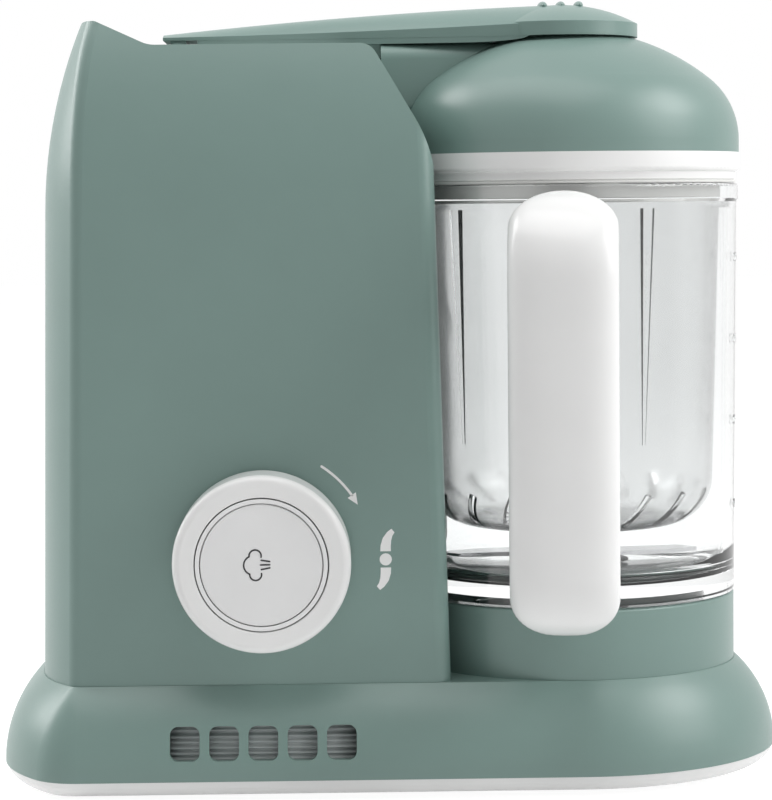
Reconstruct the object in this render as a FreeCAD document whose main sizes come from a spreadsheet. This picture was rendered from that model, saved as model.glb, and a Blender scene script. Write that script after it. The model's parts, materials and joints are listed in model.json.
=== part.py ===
import FreeCAD, Part
import math
import os
import re
import Sketcher

# Baby food maker: steam tower, lidded jar on a flared base, all sizes in millimetres.
# Local frame: the jar's axis is X = Y = 0, the table is Z = 0 and the user stands on the -Y side.

DOC = FreeCAD.newDocument("BabyFoodMaker")
SHEET = DOC.addObject("Spreadsheet::Sheet", "Sizes")

# Driving dimensions
SIZES = {
    # fits
    "slip": 0.3,
    "run_fit": 0.04,
    # housing outline
    "body_half_depth": 55.2,
    "tower_reach": 176.5,
    "end_radius": 237.0,
    "corner_radius": 58.0,
    "corner_spread": 19.2,
    # base
    "foot_drop": 2.0,
    "foot_radius": 8.0,
    "foot_recess": 0.8,
    "foot_inset": 26.0,
    "tray_depth": 5.0,
    "tray_tuck": 4.6,
    "tray_floor": 2.2,
    "base_rise": 28.5,
    "base_flare": 12.9,
    "base_lip": 0.4,
    "base_round": 3.0,
    "base_wall": 2.6,
    "deck_thick": 3.0,
    "deck_hole": 24.0,
    "boss_radius": 4.0,
    "boss_inset": 12.2,
    "screw_radius": 1.6,
    "screw_head": 3.2,
    "screw_head_depth": 1.6,
    "screw_length": 12.0,
    "vent_count": 5,
    "vent_width": 9.4,
    "vent_pitch": 12.4,
    "vent_height": 10.6,
    "vent_corner": 2.6,
    "vent_centre": 102.3,
    "vent_sill": 6.4,
    "louvre_count": 5,
    "louvre_bar": 1.3,
    "louvre_plate": 1.4,
    # tower
    "tower_wall": 2.6,
    "tower_right": 42.3,
    "left_draft": 1.1,
    "right_draft": 1.4,
    "lean_start": 152.0,
    "front_lean": 130.0,
    "end_lean": 160.0,
    "cradle_gap": 10.0,
    "tower_split": 10.0,
    "edge_round": 5.0,
    "hump_rise": 8.0,
    "hump_top": 22.5,
    "hump_run": 17.2,
    "hump_round": 3.0,
    "hump_blend": 10.0,
    "shoulder_lead": 4.3,
    "shoulder_round": 6.0,
    "shoulder_run": 24.0,
    "shoulder_slope": 60.0,
    "shoulder_blend": 55.0,
    "well_gap": 6.0,
    "grip_width": 38.0,
    "grip_height": 26.0,
    "grip_drop": 13.5,
    "grip_depth": 1.5,
    "grip_thick": 2.4,
    "rear_slot_count": 7,
    "rear_slot_pitch": 9.0,
    "rear_slot_width": 3.0,
    "rear_slot_height": 24.0,
    "gland_radius": 7.0,
    "gland_bore": 3.6,
    "gland_stand": 3.0,
    "gland_height": 16.0,
    # top deck, boiler and hinge
    "top_deck_drop": 5.5,
    "top_deck_thick": 3.0,
    "boiler_gap": 1.7,
    "boiler_radius": 25.0,
    "boiler_depth": 50.0,
    "boiler_wall": 1.6,
    "flange_width": 3.0,
    "boiler_corner": 14.0,
    "outlet_radius": 2.5,
    "outlet_bore": 1.5,
    "heater_ring": 15.0,
    "heater_tube": 3.2,
    "thermostat_radius": 8.0,
    "thermostat_depth": 7.0,
    "hinge_lift": 4.6,
    "hinge_pin": 1.6,
    "knuckle_radius": 3.2,
    "knuckle_half": 9.7,
    "ear_thick": 4.0,
    # knob and control
    "knob_x": 101.9,
    "knob_height": 76.4,
    "knob_radius": 28.0,
    "knob_stand": 19.8,
    "knob_clear": 0.4,
    "neck_wall": 2.1,
    "knob_catch": 1.6,
    "knob_round": 2.6,
    "light_radius": 20.7,
    "light_width": 1.3,
    "core_wall": 3.0,
    "core_plate": 2.5,
    "post_gap": 0.8,
    "button_thick": 3.2,
    "button_stem": 5.0,
    "button_travel": 1.5,
    "board_width": 46.0,
    "board_height": 58.0,
    "board_thick": 1.6,
    # motor and belt drive
    "motor_inset": 54.5,
    "mount_gap": 3.6,
    "motor_plate_lift": 8.0,
    "motor_plate_thick": 3.0,
    "motor_plate_half": 32.0,
    "frame_thick": 3.5,
    "frame_post": 3.0,
    "stator_half": 26.0,
    "stator_corner": 7.0,
    "stator_lift": 14.0,
    "stator_height": 32.0,
    "air_gap": 0.6,
    "coil_inset": 1.0,
    "coil_height": 7.0,
    "armature_radius": 19.0,
    "armature_slots": 12,
    "armature_slot": 2.4,
    "commutator_radius": 9.0,
    "commutator_height": 11.0,
    "motor_shaft": 3.0,
    "bush_wall": 2.6,
    "fan_radius": 24.0,
    "fan_blades": 9,
    "fan_height": 8.0,
    "motor_pulley": 9.0,
    "driven_pulley": 26.0,
    "pulley_flange": 2.2,
    "belt_width": 8.0,
    "belt_thick": 1.8,
    "belt_lift": 9.5,
    # jar seat and drive spindle
    "seat_rise": 22.8,
    "seat_wall": 2.8,
    "seat_floor": 2.8,
    "tab_depth": 3.2,
    "tab_height": 2.5,
    "tab_angle": 24.0,
    "housing_radius": 9.4,
    "housing_flange": 20.0,
    "drive_shaft": 4.0,
    "spindle_bush": 2.6,
    "housing_gap": 0.8,
    "housing_climb": 8.5,
    "dog_gap": 1.0,
    "dog_radius": 11.0,
    "dog_height": 7.0,
    "dog_arm": 2.6,
    "coupler_radius": 15.0,
    # jar, basket and blade
    "jar_rise": 135.4,
    "jar_overhang": 0.2,
    "jar_flare": 1.0,
    "jar_wall": 3.2,
    "jar_floor": 4.0,
    "jar_floor_lift": 2.0,
    "jar_fillet": 9.0,
    "foot_gap": 1.0,
    "jar_foot_depth": 12.0,
    "jar_foot_wall": 2.8,
    "rim_height": 6.0,
    "rim_proud": 0.5,
    "rebate_depth": 8.0,
    "rebate_width": 1.2,
    "lug_height": 3.0,
    "handle_angle": 5.4,
    "handle_reach": 41.1,
    "handle_width": 34.0,
    "handle_thick": 15.6,
    "handle_top_drop": 2.2,
    "handle_tail": 2.8,
    "handle_bend": 19.0,
    "handle_foot_bend": 13.0,
    "handle_round": 7.0,
    "handle_end": 14.5,
    "basket_gap": 2.6,
    "basket_taper": 2.4,
    "basket_wall": 1.6,
    "basket_flange": 2.0,
    "basket_clear": 3.3,
    "basket_corner": 16.0,
    "basket_slots": 20,
    "basket_slot_width": 2.2,
    "basket_slot_length": 11.0,
    "basket_slot_tilt": 28.0,
    "basket_holes": 12,
    "basket_ribs": 5,
    "rib_width": 4.0,
    "rib_proud": 1.8,
    "rib_length": 76.0,
    "rib_turn": 24.5,
    "hub_radius": 20.0,
    "hub_flange": 3.6,
    "hub_post": 9.0,
    "hub_height": 11.0,
    "blade_gap": 8.2,
    "blade_width": 13.0,
    "blade_thick": 1.4,
    # lid
    "lid_gap": 1.0,
    "lip_rise": 2.8,
    "lip_step": 0.6,
    "band_rise": 6.4,
    "band_proud": 0.8,
    "band_bevel": 1.5,
    "dome_skirt": 4.4,
    "dome_crown": 37.1,
    "dome_side": 26.0,
    "dome_wall": 2.4,
    "rim_cover": 2.0,
    "seal_gap": 2.2,
    "seal_drop": 4.5,
    "seal_thick": 2.0,
    "bridge_gap": 3.0,
    "bridge_half": 16.0,
    "bridge_height": 25.0,
    "bridge_top": 1.3,
    "bridge_bore": 5.0,
    "arm_gap": 3.2,
    "arm_sink": 3.0,
    "arm_tail": 1.8,
    "arm_back_half": 11.0,
    "arm_waist": 66.6,
    "arm_waist_half": 13.5,
    "arm_paddle": 25.7,
    "arm_front": 23.7,
    "arm_back_side": 0.9,
    "arm_front_side": 4.5,
    "arm_back_ridge": 2.3,
    "arm_waist_ridge": 8.05,
    "arm_front_ridge": 11.1,
    "grip_ridge": 1.6,
    "grip_ridge_pitch": 6.0,
    "grip_ridge_half": 8.0,
    "plug_margin": 1.0,
    "spigot_gap": 6.4,
    "plug_spigot_drop": 3.0,
}

# Sizes worked out from the driving dimensions
DERIVED = {
    # heights
    "cover_z": "foot_drop + tray_depth",
    "deck_z": "cover_z + base_rise",
    "seat_z": "deck_z + seat_rise",
    "jar_z": "seat_z + slip",
    "foot_z": "jar_z - jar_foot_depth",
    "floor_z": "jar_z + jar_floor_lift + jar_floor",
    "hub_z": "floor_z + bush_wall/2 + slip",
    "rim_z": "jar_z + jar_rise",
    "lip_z": "rim_z + lid_gap",
    "band_z": "lip_z + lip_rise",
    "dome_z": "band_z + band_rise",
    "crown_z": "dome_z + dome_skirt",
    "apex_z": "crown_z + dome_crown",
    "arm_z": "apex_z - arm_sink",
    "top_z": "arm_z - arm_gap",
    "tower_rise": "top_z - deck_z",
    "peak_z": "top_z + hump_rise",
    "top_deck_z": "top_z - top_deck_drop",
    "hinge_z": "top_deck_z + hinge_lift",
    "bridge_z": "top_z + bridge_top - bridge_height",
    "outlet_z": "bridge_z + bridge_height/2",
    "belt_z": "foot_drop + tray_floor + belt_lift",
    "housing_low": "belt_z + belt_width + slip + pulley_flange + housing_gap",
    "dog_z": "deck_z + housing_climb + dog_gap",
    # base and tower in plan
    "flare_radius": "(base_rise*base_rise + base_flare*base_flare)/(2*base_flare)",
    "boss_spread": "body_half_depth - boss_inset",
    "end_x": "end_radius - tower_reach",
    "corner_run": "sqrt((end_radius - corner_radius)^2 - corner_spread^2)",
    "corner_x": "end_x - corner_run",
    "cradle_radius": "body_half_depth + cradle_gap",
    "hump_back": "tower_reach - hump_top",
    "hump_foot": "hump_back - hump_run",
    "hump_slope": "atan(hump_rise/hump_run)",
    "shoulder_start": "cradle_radius + shoulder_lead",
    # boiler and hinge
    "boiler_flange": "boiler_radius + flange_width",
    "boiler_x": "cradle_radius + tower_wall + boiler_gap + boiler_flange",
    "plug_radius": "boiler_flange - plug_margin",
    "plug_spigot": "boiler_radius - boiler_wall - spigot_gap",
    "hinge_x": "boiler_x + boiler_flange + knuckle_radius + slip",
    "arm_back": "hinge_x + knuckle_radius + arm_tail",
    "well_left": "arm_back + well_gap",
    "well_right": "boiler_x - plug_radius - 2*slip",
    # knob and drive
    "knob_bore": "light_radius + knob_clear",
    "knob_neck": "knob_bore + neck_wall",
    "core_plate_radius": "knob_neck + knob_catch + post_gap + 1.8*core_wall",
    "motor_x": "tower_reach - motor_inset",
    "motor_y": "body_half_depth - tower_wall - gland_stand - motor_plate_half - mount_gap",
    "belt_run": "sqrt(motor_x^2 + motor_y^2)",
    "stator_bore": "armature_radius + air_gap",
    "coil_radius": "stator_half - coil_inset",
    "frame_post_spread": "(coil_radius + frame_post + slip)/sqrt(2)",
    # jar and lid
    "jar_bottom_radius": "body_half_depth + jar_overhang",
    "jar_top_radius": "jar_bottom_radius + jar_flare",
    "jar_foot": "body_half_depth - seat_wall - tab_depth - foot_gap",
    "blade_radius": "jar_bottom_radius - jar_wall - blade_gap",
    "basket_top_radius": "jar_top_radius - jar_wall - basket_gap",
    "basket_depth": "rim_z - rebate_depth - hub_z - hub_height - basket_clear",
    "handle_out": "jar_top_radius + handle_reach",
    "handle_length": "jar_rise - handle_top_drop + handle_tail",
    "lip_radius": "jar_top_radius - lip_step",
    "band_radius": "jar_top_radius + band_proud",
    "seal_radius": "jar_top_radius - jar_wall - seal_gap",
    "rim_bore": "seal_radius - seal_thick - rim_cover",
    "crown_radius": "((band_radius - dome_side)^2 + dome_crown^2 - dome_side^2)/(2*(dome_crown - dome_side))",
    "bridge_start": "cradle_radius - bridge_gap",
    # place of the jar's axis in the part's own frame
    "handle_side": "(handle_width/2 - handle_round)*sin(handle_angle)",
    "handle_front": "(handle_out - handle_round)*cos(handle_angle) + handle_side + handle_round",
    "frame_x": "(tower_reach - body_half_depth)/2",
    "frame_y": "(handle_front - body_half_depth - base_lip - base_flare)/2",
}

FUNCTIONS = {"sqrt", "sin", "cos", "tan", "asin", "acos", "atan", "min", "max", "hypot", "abs", "atan2"}
NODES = {}
SPOTS = {}


def fill_sheet():
    """One row for each driving dimension: its name, then its value under that alias."""
    for row, (name, size) in enumerate(SIZES.items(), start=1):
        SHEET.set(f"A{row}", name)
        SHEET.set(f"B{row}", str(size))
        SHEET.setAlias(f"B{row}", name)
    DOC.recompute()


def formula(text):
    """A sheet expression from plain names, with the worked-out sizes written in full."""
    def swap(match):
        word = match.group(0)
        if word in FUNCTIONS:
            return word
        if word in DERIVED:
            return "(" + formula(DERIVED[word]) + ")"
        return "Sizes." + word
    return re.sub(r"[A-Za-z_]\w*", swap, str(text))


def value(text):
    return float(SHEET.evalExpression(formula(text)))


def bind(item, prop, text):
    item.setExpression(prop, formula(text))


def neg(text):
    return f"(0 - ({text}))"


# Sketches and features
def new_body(name):
    return DOC.addObject("PartDesign::Body", name)


def origin_plane(body, role):
    return next(item for item in body.Origin.OriginFeatures if item.Role == role)


def sketch_on(body, role, lift="0"):
    """A sketch on one of the body's own planes, lifted along that plane's normal."""
    sketch = body.newObject("Sketcher::SketchObject", body.Name + "Sketch")
    sketch.AttachmentSupport = (origin_plane(body, role), [""])
    sketch.MapMode = "FlatFace"
    bind(sketch, "AttachmentOffset.Base.z", lift)
    return sketch


def arc_between(start, end, radius, turn):
    """The shorter arc from start to end; turn is 1 for a left turn and -1 for a right turn."""
    chord = end - start
    half = chord.Length / 2
    side = FreeCAD.Vector(-chord.y, chord.x, 0).normalize() * turn
    centre = (start + end) / 2 + side * math.sqrt(max(radius * radius - half * half, 0))
    first, last = (start, end) if turn > 0 else (end, start)
    angles = [math.atan2(spot.y - centre.y, spot.x - centre.x) for spot in (first, last)]
    return Part.ArcOfCircle(Part.Circle(centre, FreeCAD.Vector(0, 0, 1), radius), *angles)


def hold(sketch, rules, sizes):
    """Adds the rules of a sketch in one go, then ties each of its sizes to the sheet."""
    first = len(sketch.Constraints)
    sketch.addConstraint(rules + [Sketcher.Constraint(*rule, value(text)) for *rule, text in sizes])
    for number, (*_, text) in enumerate(sizes, start=first + len(rules)):
        bind(sketch, f"Constraints[{number}]", text)


def draw(sketch, path, closed=True):
    """An outline. Each step is (x, y), or (x, y, radius, turn) where an arc follows the point."""
    spots = [FreeCAD.Vector(value(step[0]), value(step[1]), 0) for step in path]
    ends = []
    for step, start, end in zip(path, spots, spots[1:] + spots[:1] if closed else spots[1:]):
        if len(step) == 2:
            line = sketch.addGeometry(Part.LineSegment(start, end), False)
            ends.append((line, 1, 2))
            continue
        arc = sketch.addGeometry(arc_between(start, end, value(step[2]), step[3]), False)
        ends.append((arc, 1, 2) if step[3] > 0 else (arc, 2, 1))
    afters = ends[1:] + ends[:1] if closed else ends[1:]
    rules = [Sketcher.Constraint("Coincident", item, last, after, after_first)
             for (item, _, last), (after, after_first, _) in zip(ends, afters)]
    corners = [(item, first) for item, first, _ in ends] + [(item, last) for item, _, last in ends[-1:]]
    sizes = []
    for step, (item, corner) in zip(path, corners):
        sizes.append(("DistanceX", -1, 1, item, corner, step[0]))
        sizes.append(("DistanceY", -1, 1, item, corner, step[1]))
        if len(step) == 4:
            sizes.append(("Radius", item, step[2]))
    hold(sketch, rules, sizes)


def circle(sketch, x, y, radius):
    spot = FreeCAD.Vector(value(x), value(y), 0)
    item = sketch.addGeometry(Part.Circle(spot, FreeCAD.Vector(0, 0, 1), value(radius)), False)
    hold(sketch, [], [("DistanceX", -1, 1, item, 3, x), ("DistanceY", -1, 1, item, 3, y),
                      ("Radius", item, radius)])


def rectangle(sketch, left, low, right, high):
    draw(sketch, [(left, low), (right, low), (right, high), (left, high)])


def round_box(sketch, x, y, wide, high, corner):
    """A rectangle about (x, y) with round corners."""
    left, right = f"{x} - ({wide})/2", f"{x} + ({wide})/2"
    low, top = f"{y} - ({high})/2", f"{y} + ({high})/2"
    draw(sketch, [
        (f"{left} + {corner}", low), (f"{right} - ({corner})", low, corner, 1),
        (right, f"{low} + {corner}"), (right, f"{top} - ({corner})", corner, 1),
        (f"{right} - ({corner})", top), (f"{left} + {corner}", top, corner, 1),
        (left, f"{top} - ({corner})"), (left, f"{low} + {corner}", corner, 1),
    ])


def pad(body, sketch, length, middle=False, back=False):
    feature = body.newObject("PartDesign::Pad", body.Name + "Pad")
    feature.Profile = sketch
    bind(feature, "Length", length)
    feature.Midplane = middle
    feature.Reversed = back
    return feature


def pocket(body, sketch, length, middle=False, back=False):
    feature = body.newObject("PartDesign::Pocket", body.Name + "Pocket")
    feature.Profile = sketch
    bind(feature, "Length", length)
    feature.Midplane = middle
    feature.Reversed = back
    return feature


def revolve(body, sketch, angle="360", middle=False):
    feature = body.newObject("PartDesign::Revolution", body.Name + "Turn")
    feature.Profile = sketch
    feature.ReferenceAxis = (sketch, ["V_Axis"])
    bind(feature, "Angle", angle)
    feature.Midplane = middle
    return feature


def loft(body, sketches, ruled=False):
    feature = body.newObject("PartDesign::AdditiveLoft", body.Name + "Loft")
    feature.Profile = sketches[0]
    feature.Sections = sketches[1:]
    feature.Ruled = ruled
    return feature


def around(body, features, count):
    """Copies of features about the body's Z axis."""
    feature = body.newObject("PartDesign::PolarPattern", body.Name + "Ring")
    feature.Originals = features
    feature.Axis = (next(item for item in body.Origin.OriginFeatures if item.Role == "Z_Axis"), [""])
    feature.Angle = 360
    bind(feature, "Occurrences", count)
    body.Tip = feature
    return feature


def sweep(body, section, path):
    feature = body.newObject("PartDesign::AdditivePipe", body.Name + "Sweep")
    feature.Profile = section
    feature.Spine = (path, [""])
    return feature


def turned(name, profile):
    """A body turned about the jar's axis from an outline of (radius, height) steps."""
    body = new_body(name)
    sketch = sketch_on(body, "XZ_Plane")
    draw(sketch, profile)
    revolve(body, sketch)
    return body


# Primitives and booleans
def place(item, x, y, z):
    SPOTS[item.Name] = (x, y)
    for axis, text in zip("xyz", (x, y, z)):
        bind(item, "Placement.Base." + axis, text)
    return item


def rod(name, x, y, z, radius, height, along="Z"):
    """A cylinder from (x, y, z) along an axis."""
    item = DOC.addObject("Part::Cylinder", name)
    bind(item, "Radius", radius)
    bind(item, "Height", height)
    turn = {"Z": FreeCAD.Vector(0, 0, 1), "X": FreeCAD.Vector(1, 0, 0), "Y": FreeCAD.Vector(0, 1, 0)}[along]
    item.Placement.Rotation = FreeCAD.Rotation(FreeCAD.Vector(0, 0, 1), turn)
    return place(item, x, y, z)


def block(name, x, y, z, length, width, height):
    """A box whose lowest corner is (x, y, z)."""
    item = DOC.addObject("Part::Box", name)
    bind(item, "Length", length)
    bind(item, "Width", width)
    bind(item, "Height", height)
    return place(item, x, y, z)


def fuse(name, *items):
    item = DOC.addObject("Part::MultiFuse", name)
    item.Shapes = list(items)
    item.Refine = True
    return item


def group(name, *items):
    """Separate solids that share one node."""
    item = DOC.addObject("Part::Compound", name)
    item.Links = list(items)
    return item


def cut(name, base, *tools):
    item = DOC.addObject("Part::Cut", name)
    item.Base = base
    item.Tool = tools[0] if len(tools) == 1 else fuse(name + "Tools", *tools)
    return item


def common(name, first, second):
    item = DOC.addObject("Part::Common", name)
    item.Base = first
    item.Tool = second
    return item


def node(name, item):
    """Names a finished sub-part and moves it from the jar's frame to the part's own frame."""
    x, y = SPOTS.get(item.Name, ("0", "0"))
    item.Label = name
    bind(item, "Placement.Base.x", f"frame_x + {x}")
    bind(item, "Placement.Base.y", f"frame_y + {y}")
    NODES[name] = item
    return item


# Housing outlines
def bowed_end(left, half, bow, corner, ease):
    """The tower end of an outline, from the back edge round to the front one.

    A wide bow meets two tighter corner arcs, and each corner is eased into the straight side."""
    reach = f"({corner} - {ease})"
    ease_x = f"(corner_x + {left} - sqrt({reach}^2 - ({half} - {ease} - corner_spread)^2))"
    touch_x = f"(corner_x + {left} + ({ease_x} - corner_x - {left})*{corner}/{reach})"
    touch_y = f"(corner_spread + ({half} - {ease} - corner_spread)*{corner}/{reach})"
    joint_x = f"(end_x + {left} - {bow}*corner_run/(end_radius - corner_radius))"
    joint_y = f"({bow}*corner_spread/(end_radius - corner_radius))"
    return [
        (ease_x, half, ease, 1), (touch_x, touch_y, corner, 1), (joint_x, joint_y, bow, 1),
        (joint_x, neg(joint_y), corner, 1), (touch_x, neg(touch_y), ease, 1), (ease_x, neg(half)),
    ]


def base_outline(body, offset, height):
    """The base seen from above, grown by an offset: a round end at the jar, a bowed end at the tower."""
    sketch = sketch_on(body, "XY_Plane", height)
    half = f"(body_half_depth + {offset})"
    bow, corner, ease = [f"({size} + {offset})" for size in ("end_radius", "corner_radius", "base_round")]
    end = bowed_end("0", half, bow, corner, ease)
    draw(sketch, end + [("0", neg(half), half, 1), (half, "0", half, 1), ("0", half)])
    return sketch


def flare_offset(height):
    """How far the base stands out at a height above its lower edge: an arc that starts upright."""
    return f"(base_lip + base_flare - flare_radius + sqrt(flare_radius^2 - ({height})^2))"


def tower_outline(body, inset, height):
    """The tower seen from above at a height over the deck, drawn in by an inset."""
    lean = f"max(0; {height} - lean_start)"
    left = f"({height}*tan(left_draft) + end_lean - sqrt(end_lean^2 - {lean}^2))"
    right = f"(0 - tower_right - {height}*tan(right_draft) - {inset})"
    half = f"(body_half_depth - front_lean + sqrt(front_lean^2 - {lean}^2) - {inset})"
    ease = f"max(edge_round - {inset}; slip)"
    end = bowed_end(left, half, f"(end_radius - {inset})", f"(corner_radius - {inset})", ease)
    sketch = sketch_on(body, "XY_Plane", f"deck_z + {height}")
    draw(sketch, end + [
        (f"{right} - {ease}", neg(half), ease, 1), (right, f"{ease} - {half}"),
        (right, f"{half} - {ease}", ease, 1), (f"{right} - {ease}", half),
    ])
    return sketch


# Base
def base_shell(name, inset, low, high):
    """The flared base as one smooth solid between two heights above its lower edge."""
    body = new_body(name)
    steps = 4
    heights = [f"({low} + ({high} - ({low}))*{step}/{steps})" for step in range(steps + 1)]
    loft(body, [base_outline(body, f"({flare_offset(h)} - {inset})", f"cover_z + {h}") for h in heights])
    return body


def corner_spots(reach):
    """Four places for feet or bosses, near the base's corners."""
    ends = (neg("tower_reach - foot_inset"), "body_half_depth - foot_inset")
    return [(x, y) for x in ends for y in (neg(reach), reach)]


def vent_windows():
    """A row of plain rounded windows through the front of the base."""
    body = new_body("VentWindows")
    for number in range(int(value("vent_count"))):
        sketch = sketch_on(body, "XZ_Plane", "body_half_depth - base_wall")
        x = f"0 - vent_centre + ({number} - (vent_count - 1)/2)*vent_pitch"
        z = "cover_z + vent_sill + vent_height/2"
        round_box(sketch, x, z, "vent_width", "vent_height", "vent_corner")
        pad(body, sketch, "base_flare + base_lip + 2*base_wall")
    return body


def base_cover():
    outer = base_shell("BaseOuter", "0", "0", "base_rise")
    inner = base_shell("BaseInner", "base_wall", "0", "base_rise - deck_thick")
    shell = cut("BaseShell", outer, inner)
    bosses = [rod("BaseBoss", x, y, "foot_drop + tray_floor", "boss_radius",
                  "deck_z - deck_thick - foot_drop - tray_floor") for x, y in corner_spots("boss_spread")]
    pilots = [rod("BasePilot", x, y, "foot_drop", "screw_radius + run_fit", "foot_drop + screw_length")
              for x, y in corner_spots("boss_spread")]
    motor_hole = rod("DeckMotorHole", "0 - motor_x", "motor_y", "cover_z", "deck_hole", "base_rise + slip")
    drive_hole = rod("DeckDriveHole", "0", "0", "cover_z", "housing_radius + slip", "base_rise + slip")
    return node("base_cover", cut("BaseCover", fuse("BaseBossed", shell, *bosses), vent_windows(),
                                  motor_hole, drive_hole, *pilots))


def base_tray():
    body = new_body("TrayOuter")
    top = "(base_lip + base_flare - slip)"
    loft(body, [base_outline(body, f"({top} - tray_tuck)", "foot_drop"),
                base_outline(body, f"({top} - tray_tuck/4)", "foot_drop + tray_depth/2"),
                base_outline(body, top, "cover_z")])
    sketch = base_outline(body, f"({top} - tray_tuck - base_wall)", "foot_drop + tray_floor")
    pocket(body, sketch, "tray_depth", back=True)
    recesses = [rod("FootRecess", x, y, "foot_drop - slip", "foot_radius + slip", "foot_recess + slip")
                for x, y in corner_spots("boss_spread - foot_radius - screw_head - base_wall")]
    holes = [rod("TrayHole", x, y, "0", "screw_radius + slip", "cover_z")
             for x, y in corner_spots("boss_spread")]
    sinks = [rod("TraySink", x, y, "0", "screw_head + slip", "foot_drop + screw_head_depth + slip/2")
             for x, y in corner_spots("boss_spread")]
    return node("base_tray", cut("BaseTray", body, *recesses, *holes, *sinks))


def rubber_feet():
    feet = []
    for x, y in corner_spots("boss_spread - foot_radius - screw_head - base_wall"):
        cone = DOC.addObject("Part::Cone", "FootCone")
        bind(cone, "Radius1", "foot_radius - foot_drop/2")
        bind(cone, "Radius2", "foot_radius")
        bind(cone, "Height", "foot_drop")
        place(cone, x, y, "0")
        feet.append(fuse("Foot", cone, rod("FootTop", x, y, "foot_drop", "foot_radius", "foot_recess")))
    return node("rubber_feet", group("RubberFeet", *feet))


def screw(x, y, z, length, up=True):
    """A pan-head screw whose head starts at z."""
    head = rod("ScrewHead", x, y, z, "screw_head", "screw_head_depth")
    if up:
        shank = rod("ScrewShank", x, y, f"{z} + screw_head_depth", "screw_radius", length)
    else:
        shank = rod("ScrewShank", x, y, f"{z} - ({length})", "screw_radius", length)
    return fuse("Screw", head, shank)


def tray_screws():
    length = "screw_length - screw_head_depth"
    screws = [screw(x, y, "foot_drop + slip/2", length) for x, y in corner_spots("boss_spread")]
    return node("tray_screws", group("TrayScrews", *screws))


def vent_louvre():
    """Horizontal slats behind the windows, each set back to follow the flared wall."""
    length = "(vent_count*vent_pitch + vent_width)"
    left = f"0 - vent_centre - {length}/2"
    height = "(vent_height + 4*louvre_bar)"
    low = "(vent_sill - 2*louvre_bar)"
    back = f"({flare_offset(f'{low} + {height}')} - base_wall - slip)"
    pieces = [block("LouvrePlate", left, f"0 - body_half_depth - {back}", f"cover_z + {low}",
                    length, "louvre_plate", height)]
    for number in range(int(value("louvre_count"))):
        level = f"({low} + {height}*({number} + 0.5)/louvre_count)"
        reach = f"({flare_offset(f'{level} + louvre_bar')} - base_wall - slip)"
        pieces.append(block("LouvreBar", left, f"0 - body_half_depth - {reach}", f"cover_z + {level}",
                            length, f"{reach} - {back} + louvre_plate", "louvre_bar"))
    return node("vent_louvre", fuse("VentLouvre", *pieces))


# Tower
def shoulder_steps(inset):
    """The tower's right shoulder in the front view: a small round, a slope, then a long blend to upright."""
    bend = f"(shoulder_round - {inset})"
    blend = f"(shoulder_blend - {inset})"
    x0, z0 = "0 - shoulder_start", f"top_z - {inset}"
    x1 = f"{x0} + {bend}*sin(shoulder_slope)"
    z1 = f"{z0} - {bend}*(1 - cos(shoulder_slope))"
    x2 = f"{x1} + shoulder_run*cos(shoulder_slope)"
    z2 = f"{z1} - shoulder_run*sin(shoulder_slope)"
    x3 = f"{x2} + {blend}*(1 - sin(shoulder_slope))"
    z3 = f"{z2} - {blend}*cos(shoulder_slope)"
    return [(x0, z0, bend, -1), (x1, z1), (x2, z2, blend, -1), (x3, z3), ("0", z3)]


def hump_steps():
    """The hump in the front view: a round peak, a slope, then a hollow blend into the flat top."""
    peak, blend = "(hump_round*tan(hump_slope/2))", "(hump_blend*tan(hump_slope/2))"
    return [
        ("0 - tower_reach", "peak_z"), (f"0 - hump_back - {peak}", "peak_z", "hump_round", -1),
        (f"{peak}*cos(hump_slope) - hump_back", f"peak_z - {peak}*sin(hump_slope)"),
        (f"0 - hump_foot - {blend}*cos(hump_slope)", f"top_z + {blend}*sin(hump_slope)", "hump_blend", 1),
        (f"{blend} - hump_foot", "top_z"),
    ]


def tower_block(name, inset, open_top):
    """The tower's outer form drawn in by an inset; an open top runs up through the well."""
    body = new_body(name)
    sky = "(tower_rise + hump_rise + tower_wall)"
    leans = [f"(lean_start + ({sky} - lean_start)*{step}/4)" for step in range(5)]
    loft(body, [tower_outline(body, inset, height) for height in ("0", "lean_start")], ruled=True)
    loft(body, [tower_outline(body, inset, height) for height in leans])
    above = "(peak_z + 2*tower_wall)"
    sketch = sketch_on(body, "XZ_Plane")
    if open_top:
        edge = f"top_z - {inset} + max(0; well_left - hump_foot)*hump_rise/hump_run"
        draw(sketch, [("0 - tower_reach", f"peak_z - {inset}"), ("0 - hump_back", f"peak_z - {inset}"),
                      ("0 - well_left", edge), ("0 - well_left", above), ("0 - tower_reach", above)])
        pocket(body, sketch, "4*body_half_depth", middle=True)
        sketch = sketch_on(body, "XZ_Plane")
        draw(sketch, [("0 - well_right", above), ("0 - well_right", f"top_z - {inset}")]
             + shoulder_steps(inset) + [("0", above)])
    else:
        draw(sketch, hump_steps() + shoulder_steps(inset) + [("0", above), ("0 - tower_reach", above)])
    pocket(body, sketch, "4*body_half_depth", middle=True)
    sketch = sketch_on(body, "XY_Plane", "deck_z - tower_wall")
    circle(sketch, "0", "0", f"cradle_radius + {inset}")
    pocket(body, sketch, "tower_rise + hump_rise + 4*tower_wall", back=True)
    return body


def grip_outline(name, gap):
    body = new_body(name)
    sketch = sketch_on(body, "YZ_Plane", "0 - tower_reach - tower_wall")
    half = f"(grip_height/2 + {gap})"
    side = f"(grip_width/2 + {gap} - {half})"
    z = "(top_z - grip_drop)"
    draw(sketch, [
        (f"0 - {side}", f"{z} - {half}"), (side, f"{z} - {half}", half, 1),
        (f"{side} + {half}", z, half, 1), (side, f"{z} + {half}"),
        (f"0 - {side}", f"{z} + {half}", half, 1), (f"0 - {side} - {half}", z, half, 1),
    ])
    pad(body, sketch, "hump_top")
    return body


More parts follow.
